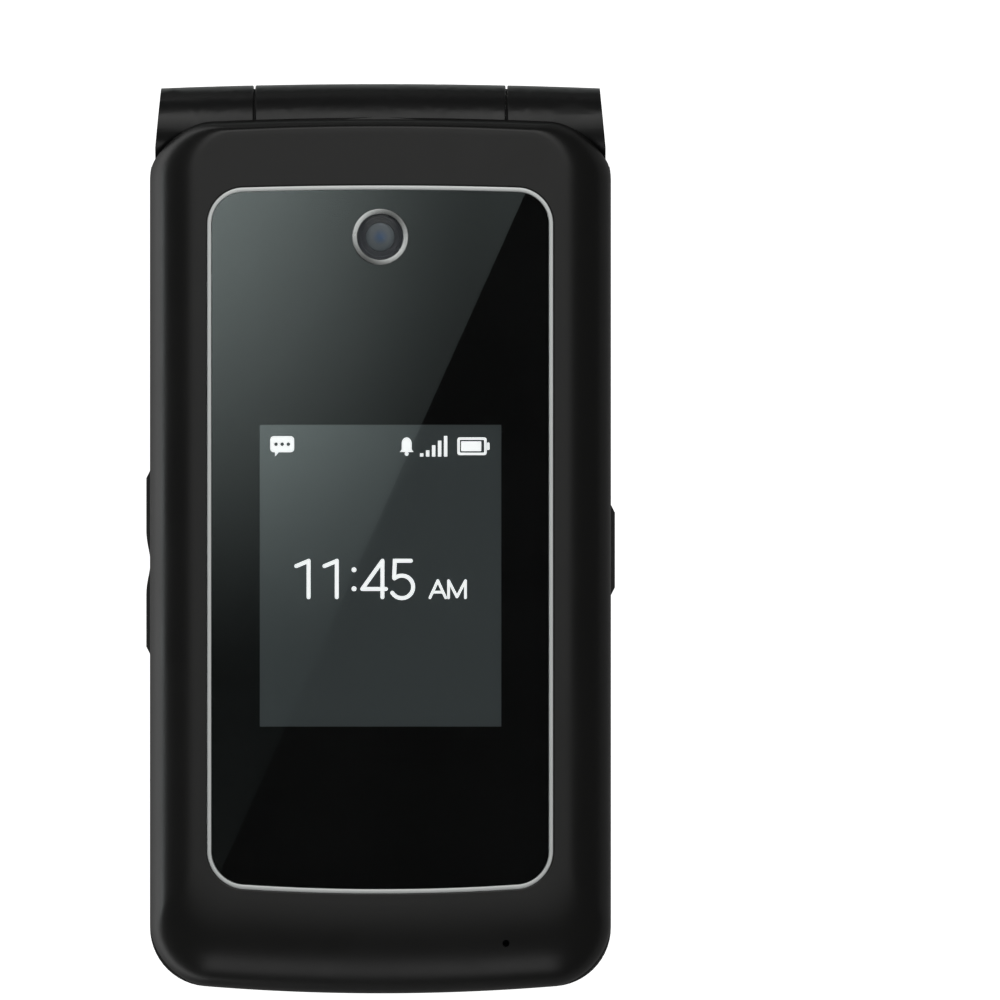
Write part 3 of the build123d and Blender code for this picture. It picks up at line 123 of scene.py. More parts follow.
def plan(half, top, bottom, topBow, bottomBow, corner, side=70, arc=26, end=60):
    # a rounded rectangle walked anticlockwise from its right side,
    # whose ends are then pushed out by bow * (1 - (x / half)^2)
    top, bottom = top - topBow, bottom + bottomBow
    up = np.linspace(bottom + corner, top - corner, side, endpoint=False)
    across = np.linspace(half - corner, -half + corner, end, endpoint=False)
    turn = np.linspace(0, math.pi / 2, arc, endpoint=False)
    parts = [np.stack([np.full(side, half), up], -1)]
    parts.append(np.stack([half - corner + corner * np.cos(turn), top - corner + corner * np.sin(turn)], -1))
    parts.append(np.stack([across, np.full(end, top)], -1))
    parts.append(np.stack([-half + corner - corner * np.sin(turn), top - corner + corner * np.cos(turn)], -1))
    parts.append(np.stack([np.full(side, -half), up[::-1] + (up[1] - up[0])], -1))
    parts.append(np.stack([-half + corner - corner * np.cos(turn),
                           bottom + corner - corner * np.sin(turn)], -1))
    parts.append(np.stack([-across, np.full(end, bottom)], -1))
    parts.append(np.stack([half - corner + corner * np.sin(turn),
                           bottom + corner - corner * np.cos(turn)], -1))
    line = np.concatenate(parts)
    bulge = 1 - (line[:, 0] / half) ** 2
    middle = (top + bottom) / 2
    line[:, 1] += np.where(line[:, 1] > middle, topBow * bulge, -bottomBow * bulge)
    return line


def rise(line, z):
    return np.column_stack([line, np.broadcast_to(z, len(line))])


def ringSolid(name, rows, bodyName, material, **more):
    # rows of points that close both along each row and from the last row to the first
    grid = np.stack(rows)
    faces = gridFaces(grid.shape[0], grid.shape[1], True, True)
    return addPiece(name, grid.reshape(-1, 3), faces, bodyName, material, **more)


def stackSolid(name, rows, bodyName, material, **more):
    # rows of points one over the other, closed by a flat face at each end
    grid = np.stack(rows)
    count = grid.shape[1]
    faces = gridFaces(grid.shape[0], count, False, True)
    faces += endFaces(count, 0, (grid.shape[0] - 1) * count)
    return addPiece(name, grid.reshape(-1, 3), faces, bodyName, material, **more)


def fullTurn(count):
    return np.linspace(0, 2 * math.pi, count, endpoint=False)


def circleLine(radius, centre=(0, 0), count=96):
    turn = fullTurn(count)
    return np.stack([centre[0] + radius * np.cos(turn), centre[1] + radius * np.sin(turn)], -1)


def roundedLine(width, length, corner, centre=(0, 0)):
    line = plan(width / 2, length / 2, -length / 2, 0, 0, corner, side=4, arc=8, end=4)
    return line + np.array(centre)


def copyNode(node, name, bodyName, material, sharp=24):
    # a merged, smooth-shaded copy of a construction node, which it stands for
    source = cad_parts[node]
    mesh = source.data.copy()
    mesh.materials.clear()
    if mesh.has_custom_normals:
        mesh.attributes.remove(mesh.attributes["custom_normal"])     # they don't outlast the merging
    piece = addObject(name, mesh)
    work = bmesh.new()
    work.from_mesh(mesh)
    bmesh.ops.remove_doubles(work, verts=work.verts, dist=2e-6)
    bmesh.ops.dissolve_degenerate(work, edges=work.edges, dist=1e-6)
    bmesh.ops.dissolve_limit(work, angle_limit=math.radians(0.3), verts=work.verts, edges=work.edges)
    work.to_mesh(mesh)
    work.free()
    shade(mesh, sharp)
    mesh.materials.append(material)
    # large flat faces keep their own shading beside small rounded edges
    weights = piece.modifiers.new("weights", "WEIGHTED_NORMAL")
    weights.weight, weights.keep_sharp = 100, True
    settle(piece)
    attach(piece, bodyName)
    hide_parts(node)
    return piece


def fill(tree, node, **values):
    # each named input gets a value, or a link from the output given; _ stands for a space
    for key, value in values.items():
        socket = node.inputs[key.replace("_", " ")]
        if isinstance(value, bpy.types.NodeSocket):
            tree.links.new(value, socket)
        else:
            socket.default_value = value


def addNode(tree, kind, **values):
    # a node with its own settings first, then its inputs
    node = tree.nodes.new(kind)
    for key in [key for key in values if hasattr(node, key)]:
        setattr(node, key, values.pop(key))
    fill(tree, node, **values)
    return node


def addMath(tree, operation, *values, kind="ShaderNodeMath"):
    # the result of an operation; each operand is a value or the output it comes from
    node = addNode(tree, kind, operation=operation)
    for socket, value in zip(node.inputs, values):
        if isinstance(value, bpy.types.NodeSocket):
            tree.links.new(value, socket)
        else:
            socket.default_value = value
    return node.outputs[0]


def newGroup(name, inputs, outputs):
    # inputs and outputs by name: a kind of socket, or a number for a float with that default
    group = bpy.data.node_groups.new(name, "ShaderNodeTree")
    for direction, sockets in (("INPUT", inputs), ("OUTPUT", outputs)):
        for label, kind in sockets.items():
            named = isinstance(kind, str)
            socket = group.interface.new_socket(name=label, in_out=direction,
                                                socket_type="NodeSocket" + (kind if named else "Float"))
            if not named:
                socket.default_value = kind
    return group, group.nodes.new("NodeGroupInput").outputs, group.nodes.new("NodeGroupOutput")


def makeMouldedGrain():
    # fine spark-eroded texture: a cell pattern and a finer noise, as a height
    inputs = {"Position": "Vector", "Scale": 9000.0}
    group, given, made = newGroup("mouldedGrain", inputs, {"Height": "Float"})
    noiseShare, cellHeight = 0.45, 0.6
    cells = addNode(group, "ShaderNodeTexVoronoi", Vector=given["Position"], Scale=given["Scale"])
    noise = addNode(group, "ShaderNodeTexNoise", Detail=3.0, Vector=given["Position"],
                    Scale=addMath(group, "MULTIPLY", given["Scale"], noiseShare))
    height = addMath(group, "MULTIPLY_ADD", cells.outputs["Distance"], cellHeight, noise.outputs["Fac"])
    fill(group, made, Height=height)
    return group


def makeHandling():
    # faint wipe marks and finger haze that move a roughness between two values
    inputs = {"Position": "Vector", "Scale": 60.0, "Low": 0.3, "High": 0.4}
    group, given, made = newGroup("handling", inputs, {"Roughness": "Float"})
    wide = addNode(group, "ShaderNodeTexNoise", Detail=5.0, Roughness=0.62, Distortion=0.8,
                   Vector=given["Position"], Scale=given["Scale"])
    spread = addNode(group, "ShaderNodeMapRange", interpolation_type="SMOOTHSTEP", Value=wide.outputs["Fac"],
                     From_Min=0.36, From_Max=0.66, To_Min=given["Low"], To_Max=given["High"])
    fill(group, made, Roughness=spread.outputs["Result"])
    return group


def makeTone():
    # slow drift between two near colours
    inputs = {"Position": "Vector", "Scale": 30.0, "Dark": "Color", "Light": "Color"}
    group, given, made = newGroup("toneDrift", inputs, {"Color": "Color"})
    noise = addNode(group, "ShaderNodeTexNoise", Detail=4.0, Vector=given["Position"], Scale=given["Scale"])
    mix = addNode(group, "ShaderNodeMix", data_type="RGBA", Factor=noise.outputs["Fac"])
    group.links.new(given["Dark"], mix.inputs[6])      # A and B name the float inputs first
    group.links.new(given["Light"], mix.inputs[7])
    fill(group, made, Color=mix.outputs[2])
    return group


def makeBrushed():
    # fine lines along one direction, for drawn or turned metal
    inputs = {"Position": "Vector", "Along": "Vector", "Low": 0.25, "High": 0.4}
    group, given, made = newGroup("brushedLines", inputs, {"Height": "Float", "Roughness": "Float"})
    stretched = addMath(group, "MULTIPLY", given["Position"], given["Along"], kind="ShaderNodeVectorMath")
    noise = addNode(group, "ShaderNodeTexNoise", Scale=1.0, Detail=2.0, Vector=stretched).outputs["Fac"]
    spread = addNode(group, "ShaderNodeMapRange", Value=noise, To_Min=given["Low"], To_Max=given["High"])
    fill(group, made, Height=noise, Roughness=spread.outputs["Result"])
    return group


def makePaintedTurnedSheen():
    # painted highlight: a level that scales a metal's colour, high in two opposite fans round a centre, as a
    # turned face's reflection would be; cosine of twice the angle from the bright direction
    inputs = {"Position": "Vector", "Centre": "Vector", "Bright Angle": 2.6, "Low": 0.3, "High": 1.2}
    group, given, made = newGroup("paintedTurnedSheen", inputs, {"Level": "Float"})
    away = addMath(group, "SUBTRACT", given["Position"], given["Centre"], kind="ShaderNodeVectorMath")
    split = addNode(group, "ShaderNodeSeparateXYZ", Vector=away)
    angle = addMath(group, "ARCTAN2", split.outputs["Y"], split.outputs["X"])
    twice = addMath(group, "MULTIPLY", addMath(group, "SUBTRACT", angle, given["Bright Angle"]), 2.0)
    fans = addNode(group, "ShaderNodeMapRange", Value=addMath(group, "COSINE", twice), From_Min=-1.0,
                   To_Min=given["Low"], To_Max=given["High"])
    fill(group, made, Level=fans.outputs["Result"])
    return group


mouldedGrain = makeMouldedGrain()
handling = makeHandling()
toneDrift = makeTone()
brushedLines = makeBrushed()
paintedTurnedSheen = makePaintedTurnedSheen()


def newMaterial(name):
    material = bpy.data.materials.new(name)
    material.use_nodes = True
    tree = material.node_tree
    place = tree.nodes.new("ShaderNodeTexCoord").outputs["Object"]
    return material, tree, tree.nodes["Principled BSDF"], place


def placeGroup(tree, group, position, **values):
    return addNode(tree, "ShaderNodeGroup", node_tree=group, Position=position, **values).outputs


def drift(tree, place, scale, dark, light):
    # a colour between two near ones
    return placeGroup(tree, toneDrift, place, Scale=scale, Dark=(*dark, 1), Light=(*light, 1))["Color"]


def worn(tree, place, scale, low, high):
    # a roughness between two values
    return placeGroup(tree, handling, place, Scale=scale, Low=low, High=high)["Roughness"]


def bump(tree, height, strength, distance):
    node = addNode(tree, "ShaderNodeBump", Strength=strength, Distance=distance, Height=height)
    return node.outputs["Normal"]


def plastic(name, look):
    look = {"toneScale": 25, "wearScale": 60, "grainScale": 9000, "grain": 0.2, "specular": 0.5, "coat": 0.0,
            **look}
    material, tree, shader, place = newMaterial(name)
    grain = placeGroup(tree, mouldedGrain, place, Scale=look["grainScale"])
    fill(tree, shader, Base_Color=drift(tree, place, look["toneScale"], look["dark"], look["light"]),
         Roughness=worn(tree, place, look["wearScale"], *look["rough"]), Specular_IOR_Level=look["specular"],
         Coat_Weight=look["coat"], Coat_Roughness=0.2,
         Normal=bump(tree, grain["Height"], look["grain"], 0.00002))
    return material


def metal(name, look):
    look = {"toneScale": 200, "along": (400, 7000, 7000), "grain": 0.2, "metallic": 1.0, **look}
    material, tree, shader, place = newMaterial(name)
    lines = placeGroup(tree, brushedLines, place, Along=look["along"], Low=look["rough"][0],
                       High=look["rough"][1])
    colour = drift(tree, place, look["toneScale"], look["dark"], look["light"])
    if "centre" in look:
        # the colour is scaled by a painted highlight: lighter in two opposite fans about the centre, darker
        # between them
        paintedSheen = placeGroup(tree, paintedTurnedSheen, place, Centre=[v * mm for v in look["centre"]],
                           Bright_Angle=look["paintedHighlightAngle"])
        colour = addNode(tree, "ShaderNodeVectorMath", operation="SCALE", Vector=colour,
                         Scale=paintedSheen["Level"]).outputs[0]
    fill(tree, shader, Base_Color=colour, Roughness=lines["Roughness"], Metallic=look["metallic"],
         Normal=bump(tree, lines["Height"], look["grain"], 0.00001))
    return material


# black and coloured plastics; what a look leaves out is given in plastic()
plasticLooks = {
    "lidBlack": dict(dark=(0.0125, 0.0125, 0.012), light=(0.015, 0.015, 0.0145), wearScale=55,
                     rough=(0.28, 0.33)),
    "bodyBlack": dict(dark=(0.0105, 0.0108, 0.011), light=(0.013, 0.0133, 0.0135), wearScale=70,
                      rough=(0.28, 0.36), grain=0.15),
    "backSlate": dict(dark=(0.02, 0.024, 0.025), light=(0.026, 0.031, 0.032), toneScale=20,
                      rough=(0.38, 0.46), grain=0.25),
    "keyBlack": dict(dark=(0.012, 0.012, 0.013), light=(0.017, 0.017, 0.018), toneScale=60, wearScale=180,
                     rough=(0.27, 0.33), grain=0.08, coat=0.2),
    "chassisBlack": dict(dark=(0.02, 0.02, 0.021), light=(0.028, 0.028, 0.03), toneScale=40, wearScale=90,
                         rough=(0.5, 0.62), grainScale=6000, grain=0.35),
    "partBlack": dict(dark=(0.015, 0.015, 0.016), light=(0.03, 0.03, 0.03), toneScale=200, wearScale=300,
                      rough=(0.4, 0.55), grainScale=8000),
    "rubberBlack": dict(dark=(0.015, 0.015, 0.015), light=(0.024, 0.024, 0.024), toneScale=200, wearScale=400,
                        rough=(0.7, 0.85), grainScale=7000, grain=0.3),
    "siliconeGrey": dict(dark=(0.34, 0.35, 0.36), light=(0.42, 0.43, 0.44), toneScale=60, wearScale=150,
                         rough=(0.5, 0.62), grainScale=6000, grain=0.15),
    "flexAmber": dict(dark=(0.32, 0.12, 0.02), light=(0.45, 0.2, 0.04), toneScale=300, wearScale=300,
                      rough=(0.25, 0.38), grainScale=4000, grain=0.1, coat=0.4),
    "batteryGrey": dict(dark=(0.055, 0.056, 0.06), light=(0.08, 0.082, 0.087), toneScale=50, wearScale=110,
                        rough=(0.36, 0.5), grainScale=5000),
    "grilleBlack": dict(dark=(0.012, 0.0125, 0.014), light=(0.018, 0.018, 0.021), toneScale=60, wearScale=120,
                        rough=(0.34, 0.45), grain=0.25),
    "lensRim": dict(dark=(0.02, 0.023, 0.022), light=(0.026, 0.03, 0.029), toneScale=200, wearScale=300,
                    rough=(0.4, 0.5), grainScale=8000, grain=0.1),
    "printBlack": dict(dark=(0.0022, 0.0023, 0.0024), light=(0.0026, 0.0027, 0.0028), toneScale=30,
                       rough=(0.5, 0.6), grainScale=3000, grain=0.02, specular=0.1),
}
metalLooks = {
    "trimSilver": dict(dark=(0.76, 0.785, 0.78), light=(0.8, 0.825, 0.82), toneScale=120, metallic=0.95,
                       along=(2000, 2000, 9000), rough=(0.26, 0.34), grain=0.15),
    # the camera ring's silver is darker than the trim's, and its colour carries a painted highlight in two
    # opposite fans about the camera's centre
    "ringSilver": dict(dark=(0.62, 0.64, 0.635), light=(0.66, 0.68, 0.675), toneScale=120, metallic=0.95,
                       along=(2000, 2000, 9000), rough=(0.22, 0.3), grain=0.15,
                       centre=(0.0, 36.6, 0.0), paintedHighlightAngle=2.6),
    "tinShield": dict(dark=(0.5, 0.5, 0.48), light=(0.66, 0.66, 0.63), toneScale=300,
                      along=(300, 6000, 6000), rough=(0.25, 0.4)),
    "steel": dict(dark=(0.42, 0.42, 0.43), light=(0.56, 0.56, 0.57), rough=(0.2, 0.35)),
    "blackSteel": dict(dark=(0.012, 0.012, 0.013), light=(0.018, 0.018, 0.019), metallic=0.3,
                       rough=(0.4, 0.55)),
    "goldPlate": dict(dark=(0.7, 0.5, 0.2), light=(0.85, 0.62, 0.28), toneScale=300,
                      along=(3000, 3000, 3000), rough=(0.18, 0.3), grain=0.1),
}


def makeWindowGlass():
    material, tree, shader, place = newMaterial("windowGlass")
    fill(tree, shader, Base_Color=drift(tree, place, 20.0, (0.925, 0.945, 0.945), (0.935, 0.955, 0.955)),
         Roughness=0.0, Transmission_Weight=1.0, IOR=1.49)
    return material


def makeGlow(name, dark, light, scale, strength, coat=0.0):
    # a lit surface whose colour drifts slowly, as a backlit panel's does
    material, tree, shader, place = newMaterial(name)
    tone = drift(tree, place, scale, dark, light)
    fill(tree, shader, Emission_Color=tone, Base_Color=tone, Emission_Strength=strength, Roughness=0.5,
         Coat_Weight=coat, Coat_IOR=2.1, Coat_Roughness=0.02)
    return material


def makeBoard():
    # solder mask over fine copper traces
    material, tree, shader, place = newMaterial("boardGreen")
    traces = addNode(tree, "ShaderNodeTexBrick", Vector=place, Scale=700.0, Mortar_Size=0.03,
                     Color1=(0.012, 0.09, 0.045, 1), Color2=(0.01, 0.075, 0.036, 1),
                     Mortar=(0.03, 0.16, 0.07, 1))
    fill(tree, shader, Base_Color=traces.outputs["Color"], Roughness=worn(tree, place, 200.0, 0.25, 0.35),
         Normal=bump(tree, traces.outputs["Fac"], 0.2, 0.00002))
    return material


def makeLensGlass():
    # clear cover glass, very slightly blue
    material, tree, shader, place = newMaterial("lensGlass")
    fill(tree, shader, Base_Color=(0.9, 0.93, 1.0, 1), Transmission_Weight=1.0, IOR=1.3,
         Roughness=worn(tree, place, 200.0, 0.01, 0.03))
    return material


look = {name: plastic(name, values) for name, values in plasticLooks.items()}
look.update({name: metal(name, values) for name, values in metalLooks.items()})
look["windowGlass"] = makeWindowGlass()
look["lensGlass"] = makeLensGlass()
look["boardGreen"] = makeBoard()
# each glow: its two near colours, the size of the drift, its strength and its coat
glows = {
    "displayGlow": ((0.027, 0.033, 0.034), (0.03, 0.037, 0.038), 40.0, 0.8, 1.0),
    "symbolWhite": ((0.86, 0.87, 0.87), (0.92, 0.93, 0.93), 300.0, 1.0),
    "symbolDark": ((0.03, 0.036, 0.037), (0.034, 0.041, 0.042), 300.0, 0.9),
    "legendWhite": ((0.6, 0.62, 0.63), (0.7, 0.72, 0.73), 300.0, 0.15),
    "legendGreen": ((0.02, 0.3, 0.05), (0.03, 0.38, 0.07), 300.0, 0.25),
    "legendRed": ((0.4, 0.015, 0.012), (0.5, 0.02, 0.016), 300.0, 0.25),
}
look.update({name: makeGlow(name, *values) for name, values in glows.items()})
print("materials made,", len(look))

# which material each construction node gets
nodeLooks = {
    "lidBlack": ["lid_outer_cover"],
    "bodyBlack": ["lid_inner_cover", "front_housing", "volume_rocker", "side_key"],
    "backSlate": ["battery_cover"],
    "trimSilver": ["window_trim_ring", "camera_ring"],
    "windowGlass": ["outer_window"],
    "printBlack": ["inner_window", "inner_display", "outer_display"],
    "lensGlass": ["camera_lens"],
    "chassisBlack": ["rear_housing"],
    "boardGreen": ["main_board", "lid_board"],
    "tinShield": ["shield_cans", "sim_socket", "vibration_motor", "usb_socket", "lid_magnet"],
    "steel": ["hinge_cam", "base_screws", "lid_screws"],
    "blackSteel": ["hinge_cartridge", "hinge_bushing"],
    "goldPlate": ["battery_contacts", "antenna", "key_domes"],
    "partBlack": ["camera_module", "earpiece", "loudspeaker", "headphone_jack", "side_switches"],
    "rubberBlack": ["lid_bumpers", "microphone", "lid_microphone"],
    "siliconeGrey": ["keypad_mat"],
    "flexAmber": ["hinge_flex"],
    "batteryGrey": ["battery"],
    "grilleBlack": ["speaker_grille"],
}
nodeLooks["keyBlack"] = ["nav_ring"] + [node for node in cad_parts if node.startswith("key_")
                                        and node != "key_domes"]
for lookName, nodes in nodeLooks.items():
    for node in nodes:
        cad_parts[node].data.materials.clear()
        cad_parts[node].data.materials.append(look[lookName])


lidShell = {
    "seam": 13.6,
    "rise": 5.3,
    "reach": (6.0, 1.5, 10.8),      # how far in the edge rolls off: sides, hinge end, free end
    "wall": 1.2,
    "faceWall": 1.8,
    "seamRound": 0.12,
    "edgeRows": 26,
    "innerRows": 10,
    "pocketDepth": 1.12,
    "ledge": 3.4,
    "rimRound": 0.1,
    "pinhole": (15.25, -49.1),
    "pinholeRadius": 0.42,
}
window = {"half": 21.0, "top": 42.85, "bottom": -43.05, "topBow": 0.4, "bottomBow": 0.85, "corner": 4.3,
          "printFloor": 17.81, "printTop": 17.88}


def windowPlan(inset):
    return plan(window["half"] - inset, window["top"] - inset, window["bottom"] + inset,
                window["topBow"], window["bottomBow"], window["corner"] - inset)


def bodyPlan(hingeEdge, inset, drawn, reach):
    # the body's plan, drawn in by inset and by reach times drawn: sides, hinge end, free end
    side, hinge, free = (r * drawn for r in reach)
    return plan(body["halfWidth"] - inset - side, hingeEdge - inset - hinge,
                body["freeEnd"] + inset + free, body["hingeBow"], body["freeBow"],
                body["corner"] - inset - side / 2)


def roundedEdge(hingeEdge, seam, height, inset, reach, rows, hollow=None, start=None):
    # each column follows a quarter ellipse from the seam to the face; a column that would
    # start inside the hollow round the barrel starts on the hollow instead
    steps = 180
    columns = []
    for t in np.linspace(0, 1, steps + 1):
        turn = t * math.pi / 2
        line = bodyPlan(hingeEdge, inset, 1 - math.cos(turn), reach)
        columns.append(rise(line, seam + height * math.sin(turn)))
    columns = np.stack(columns)
    first = np.zeros(columns.shape[1])
    if hollow:
        away = np.hypot(columns[..., 1] - body["hingeY"], columns[..., 2] - body["hingeZ"])
        inside = (away < hollow) & (columns[..., 1] > body["hingeY"] - hollow)
        last = inside.shape[0] - 1 - np.argmax(inside[::-1], axis=0)
        hit = inside.any(axis=0)
        low = np.take_along_axis(away, last[None], 0)[0]
        high = np.take_along_axis(away, np.minimum(last + 1, steps)[None], 0)[0]
        part = (hollow - low) / np.maximum(high - low, 1e-9)
        first = np.where(hit, (last + np.clip(part, 0, 1)) / steps, 0)
    if start is not None:
        first = np.maximum(first, start(columns[0]))
    result = []
    for s in 1 - np.cos(np.linspace(0, math.pi / 2, rows)):
        t = first + (1 - first) * s
        where = t * steps
        below = np.minimum(where.astype(int), steps - 1)
        mix = (where - below)[:, None]
        index = np.arange(columns.shape[1])
        result.append(columns[below, index] * (1 - mix) + columns[below + 1, index] * mix)
    return result


def makeLidShell():
    s = lidShell
    face = s["seam"] + s["rise"]
    outer = roundedEdge(body["lidHingeEdge"], s["seam"] + s["seamRound"], s["rise"] - s["seamRound"], 0,
                        s["reach"], s["edgeRows"], hollow=body["hollow"])
    lip = outer[0].copy()
    lip[:, :2] *= 1 - s["seamRound"] / body["halfWidth"]
    lip[:, 2] -= s["seamRound"]
    edge = bodyPlan(body["lidHingeEdge"], 0, 1, s["reach"])
    rim = windowPlan(-s["rimRound"])
    rows = [lip] + outer
    rows += [rise(edge * (1 - k) + rim * k, face) for k in (0.1, 0.35, 0.65, 0.9)]
    # down over the rim into the window's pocket, as (inset, depth) pairs
    steps = [(-s["rimRound"] * 2, 0), (-s["rimRound"], 0), (-s["rimRound"] * 0.3, s["rimRound"] * 0.3),
             (0, s["rimRound"]), (0, s["pocketDepth"]), (s["ledge"], s["pocketDepth"]),
             (s["ledge"], s["faceWall"])]
    rows += [rise(windowPlan(inset), face - depth) for inset, depth in steps]
    inner = roundedEdge(body["lidHingeEdge"], s["seam"], s["rise"] - s["faceWall"], s["wall"], s["reach"],
                        s["innerRows"], hollow=body["hollow"] + body["hollowWall"])
    rows += inner[::-1]
    shell = ringSolid("lidShell", rows, "lid", look["lidBlack"], replaces="lid_outer_cover", slot="lid_shell")
    drill(shell, s["pinhole"], s["pinholeRadius"], s["seam"], face)


def drill(piece, place, radius, low, high, sharp=35):
    # a round hole through a piece along Z, cut once and kept in its mesh
    line = circleLine(radius, place, 32)
    count = len(line)
    bit = bpy.data.meshes.new("bit")
    points = np.vstack([rise(line, low), rise(line, high)]) * mm
    faces = gridFaces(2, count, False, True) + endFaces(count, 0, count)
    bit.from_pydata(points.tolist(), [], faces)
    outwards(bit)
    tool = addObject("bit", bit)
    cut = piece.modifiers.new("hole", "BOOLEAN")
    cut.operation, cut.object, cut.solver = "DIFFERENCE", tool, "EXACT"
    done = settle(piece)
    bpy.data.objects.remove(tool)
    shade(done, sharp)


makeLidShell()


def shellHalf(y, z):
    # half the shell's width at one place of its section, a little inside the surface
    s, inside = lidShell, 0.04
    up = min(max((z - s["seam"]) / s["rise"], 0), 1)
    edge = bodyPlan(body["lidHingeEdge"], inside, 1 - math.sqrt(1 - up * up), s["reach"])
    right = edge[edge[:, 0] > 0]
    right = right[np.argsort(right[:, 1])]
    return np.interp(y, right[:, 1], right[:, 0])


def makeHingeWall():
    # the concave wall between the lid's shell and the barrel: an arc about the hinge axis,
    # as long at each angle as the shell is wide there
    wall = {"inner": body["hollow"], "thick": 0.8, "from": 154, "to": 80, "steps": 24, "columns": 60}
    turn = np.radians(np.linspace(wall["from"], wall["to"], wall["steps"]))
    lines = []
    for radius, angles in ((wall["inner"], turn), (wall["inner"] + wall["thick"], turn[::-1])):
        y = body["hingeY"] + radius * np.cos(angles)
        z = body["hingeZ"] + radius * np.sin(angles)
        lines += [(shellHalf(b, c), b, c) for b, c in zip(y, z)]
    rows = [np.array([(half * a, y, z) for half, y, z in lines]) for a in np.linspace(-1, 1, wall["columns"])]
    stackSolid("lidHingeWall", rows, "lid", look["lidBlack"], slot="lid_shell")


makeHingeWall()
print("lid shell made")

backShell = {
    "height": 4.6,
    "reach": (4.6, 2.0, 9.0),
    "wall": 1.0,
    "seamRound": 0.12,
    "edgeRows": 22,
    "innerRows": 10,
    "grilleY": 28.45,
    "grilleWidth": 42.1,
    "grilleLength": 5.9,
    "groove": 0.45,
    "notchHalf": 10.15,
    "notchDepth": 2.2,
    "notchSoft": 0.35,
}


def pillTowards(line, centre, width, length):
    # for each point of a line, the point of a round-ended slot in the same direction from its centre
    away = line - np.array(centre)
    direction = away / np.linalg.norm(away, axis=1)[:, None]
    radius, straight = length / 2, (width - length) / 2
    flat = radius / np.maximum(np.abs(direction[:, 1]), 1e-9)
    along = np.abs(direction[:, 0])
    reach = straight * along + np.sqrt(np.maximum(radius ** 2 - (straight * direction[:, 1]) ** 2, 0))
    distance = np.where(flat * along <= straight, flat, reach)
    return np.array(centre) + direction * distance[:, None]


def makeBackShell():
    s = backShell
    centre = (0, s["grilleY"])

    def notch(points):
        # the finger notch lifts the start of the columns at the middle of the hinge edge
        near = 1 / (1 + np.exp((np.abs(points[:, 0]) - s["notchHalf"]) / (s["notchSoft"] / 4)))
        depth = math.asin(s["notchDepth"] / s["height"]) / (math.pi / 2)
        return np.where(points[:, 1] > body["hingeY"] - 5, depth * near, 0)

    seam = s["height"]
    outer = roundedEdge(body["coverHingeEdge"], seam - s["seamRound"], -seam + s["seamRound"], 0,
                        s["reach"], s["edgeRows"], start=notch)
    lip = outer[0].copy()
    lip[:, :2] *= 1 - s["seamRound"] / body["halfWidth"]
    lip[:, 2] += s["seamRound"]
    edge = bodyPlan(body["coverHingeEdge"], 0, 1, s["reach"])
    width = s["grilleWidth"] + 2 * s["groove"]
    length = s["grilleLength"] + 2 * s["groove"]
    rim = pillTowards(edge, centre, width + 0.2, length + 0.2)
    hole = pillTowards(edge, centre, width, length)
    rows = [lip] + outer
    rows += [rise(edge * (1 - k) + rim * k, 0) for k in (0.04, 0.2, 0.5, 0.8, 1.0)]
    rows += [rise(hole, 0.1), rise(hole, s["wall"])]
    inner = roundedEdge(body["coverHingeEdge"], seam, -seam + s["wall"], s["wall"], s["reach"],
                        s["innerRows"], start=notch)
    rows += inner[::-1]
    ringSolid("backShell", rows, "battery_cover", look["backSlate"], replaces="battery_cover",
              slot="back_shell")


makeBackShell()
print("back shell made")


def roundedProfile(width, floor, top, edge, steps=6):
    # a bar's section with two rounded upper edges, as (inset, height) pairs
    turn = np.linspace(0, math.pi / 2, steps)
    left = [(edge - edge * math.cos(t), top - edge + edge * math.sin(t)) for t in turn]
    right = [(width - inset, z) for inset, z in left[::-1]]
    return [(0, floor)] + left + right + [(width, floor)]


trim = {"width": 0.55, "floor": 17.8, "top": 19.0, "edge": 0.09}
section = roundedProfile(trim["width"], trim["floor"], trim["top"], trim["edge"])
ringSolid("windowTrim", [rise(windowPlan(inset), z) for inset, z in section], "lid", look["trimSilver"],
          sharp=60, replaces="window_trim_ring", slot="trim_metal")

display = {"x": 0.03, "y": -4.5, "width": 29.3, "length": 36.6, "panelTop": 17.6, "panelThick": 0.04,
           "panelLap": 0.8, "frameWidth": 33.0, "frameLength": 42.0, "frameFloor": 16.2, "corner": 0.6,
           "chamfer": (0.3, 0.15, 0.05)}     # how far in, and where it starts and ends below the panel
camera = {"y": 36.6, "ring": 3.45, "ringWidth": 0.7, "ringFloor": 17.1, "top": 19.0, "edge": 0.12}


def makeWindowPrint():
    # black print under the glass: from the window's edge to the display's opening, in one ring,
    # with the part round the camera left solid behind the camera ring
    outer = windowPlan(trim["width"] + 0.02)
    centre = np.array([display["x"], display["y"]])
    away = outer - centre
    scale = np.minimum(display["width"] / 2 / np.maximum(np.abs(away[:, 0]), 1e-9),
                       display["length"] / 2 / np.maximum(np.abs(away[:, 1]), 1e-9))
    opening = centre + away * scale[:, None]
    for x in (-0.5, 0.5):
        for y in (-0.5, 0.5):
            corner = centre + np.array([x * display["width"], y * display["length"]])
            opening[np.argmin(np.hypot(*(opening - corner).T))] = corner
    floor, top = window["printFloor"], window["printTop"]
    rows = [rise(outer, floor), rise(outer, top), rise(opening, top), rise(opening, floor)]
    ringSolid("windowPrint", rows, "lid", look["printBlack"], slot="window_glass")


makeWindowPrint()


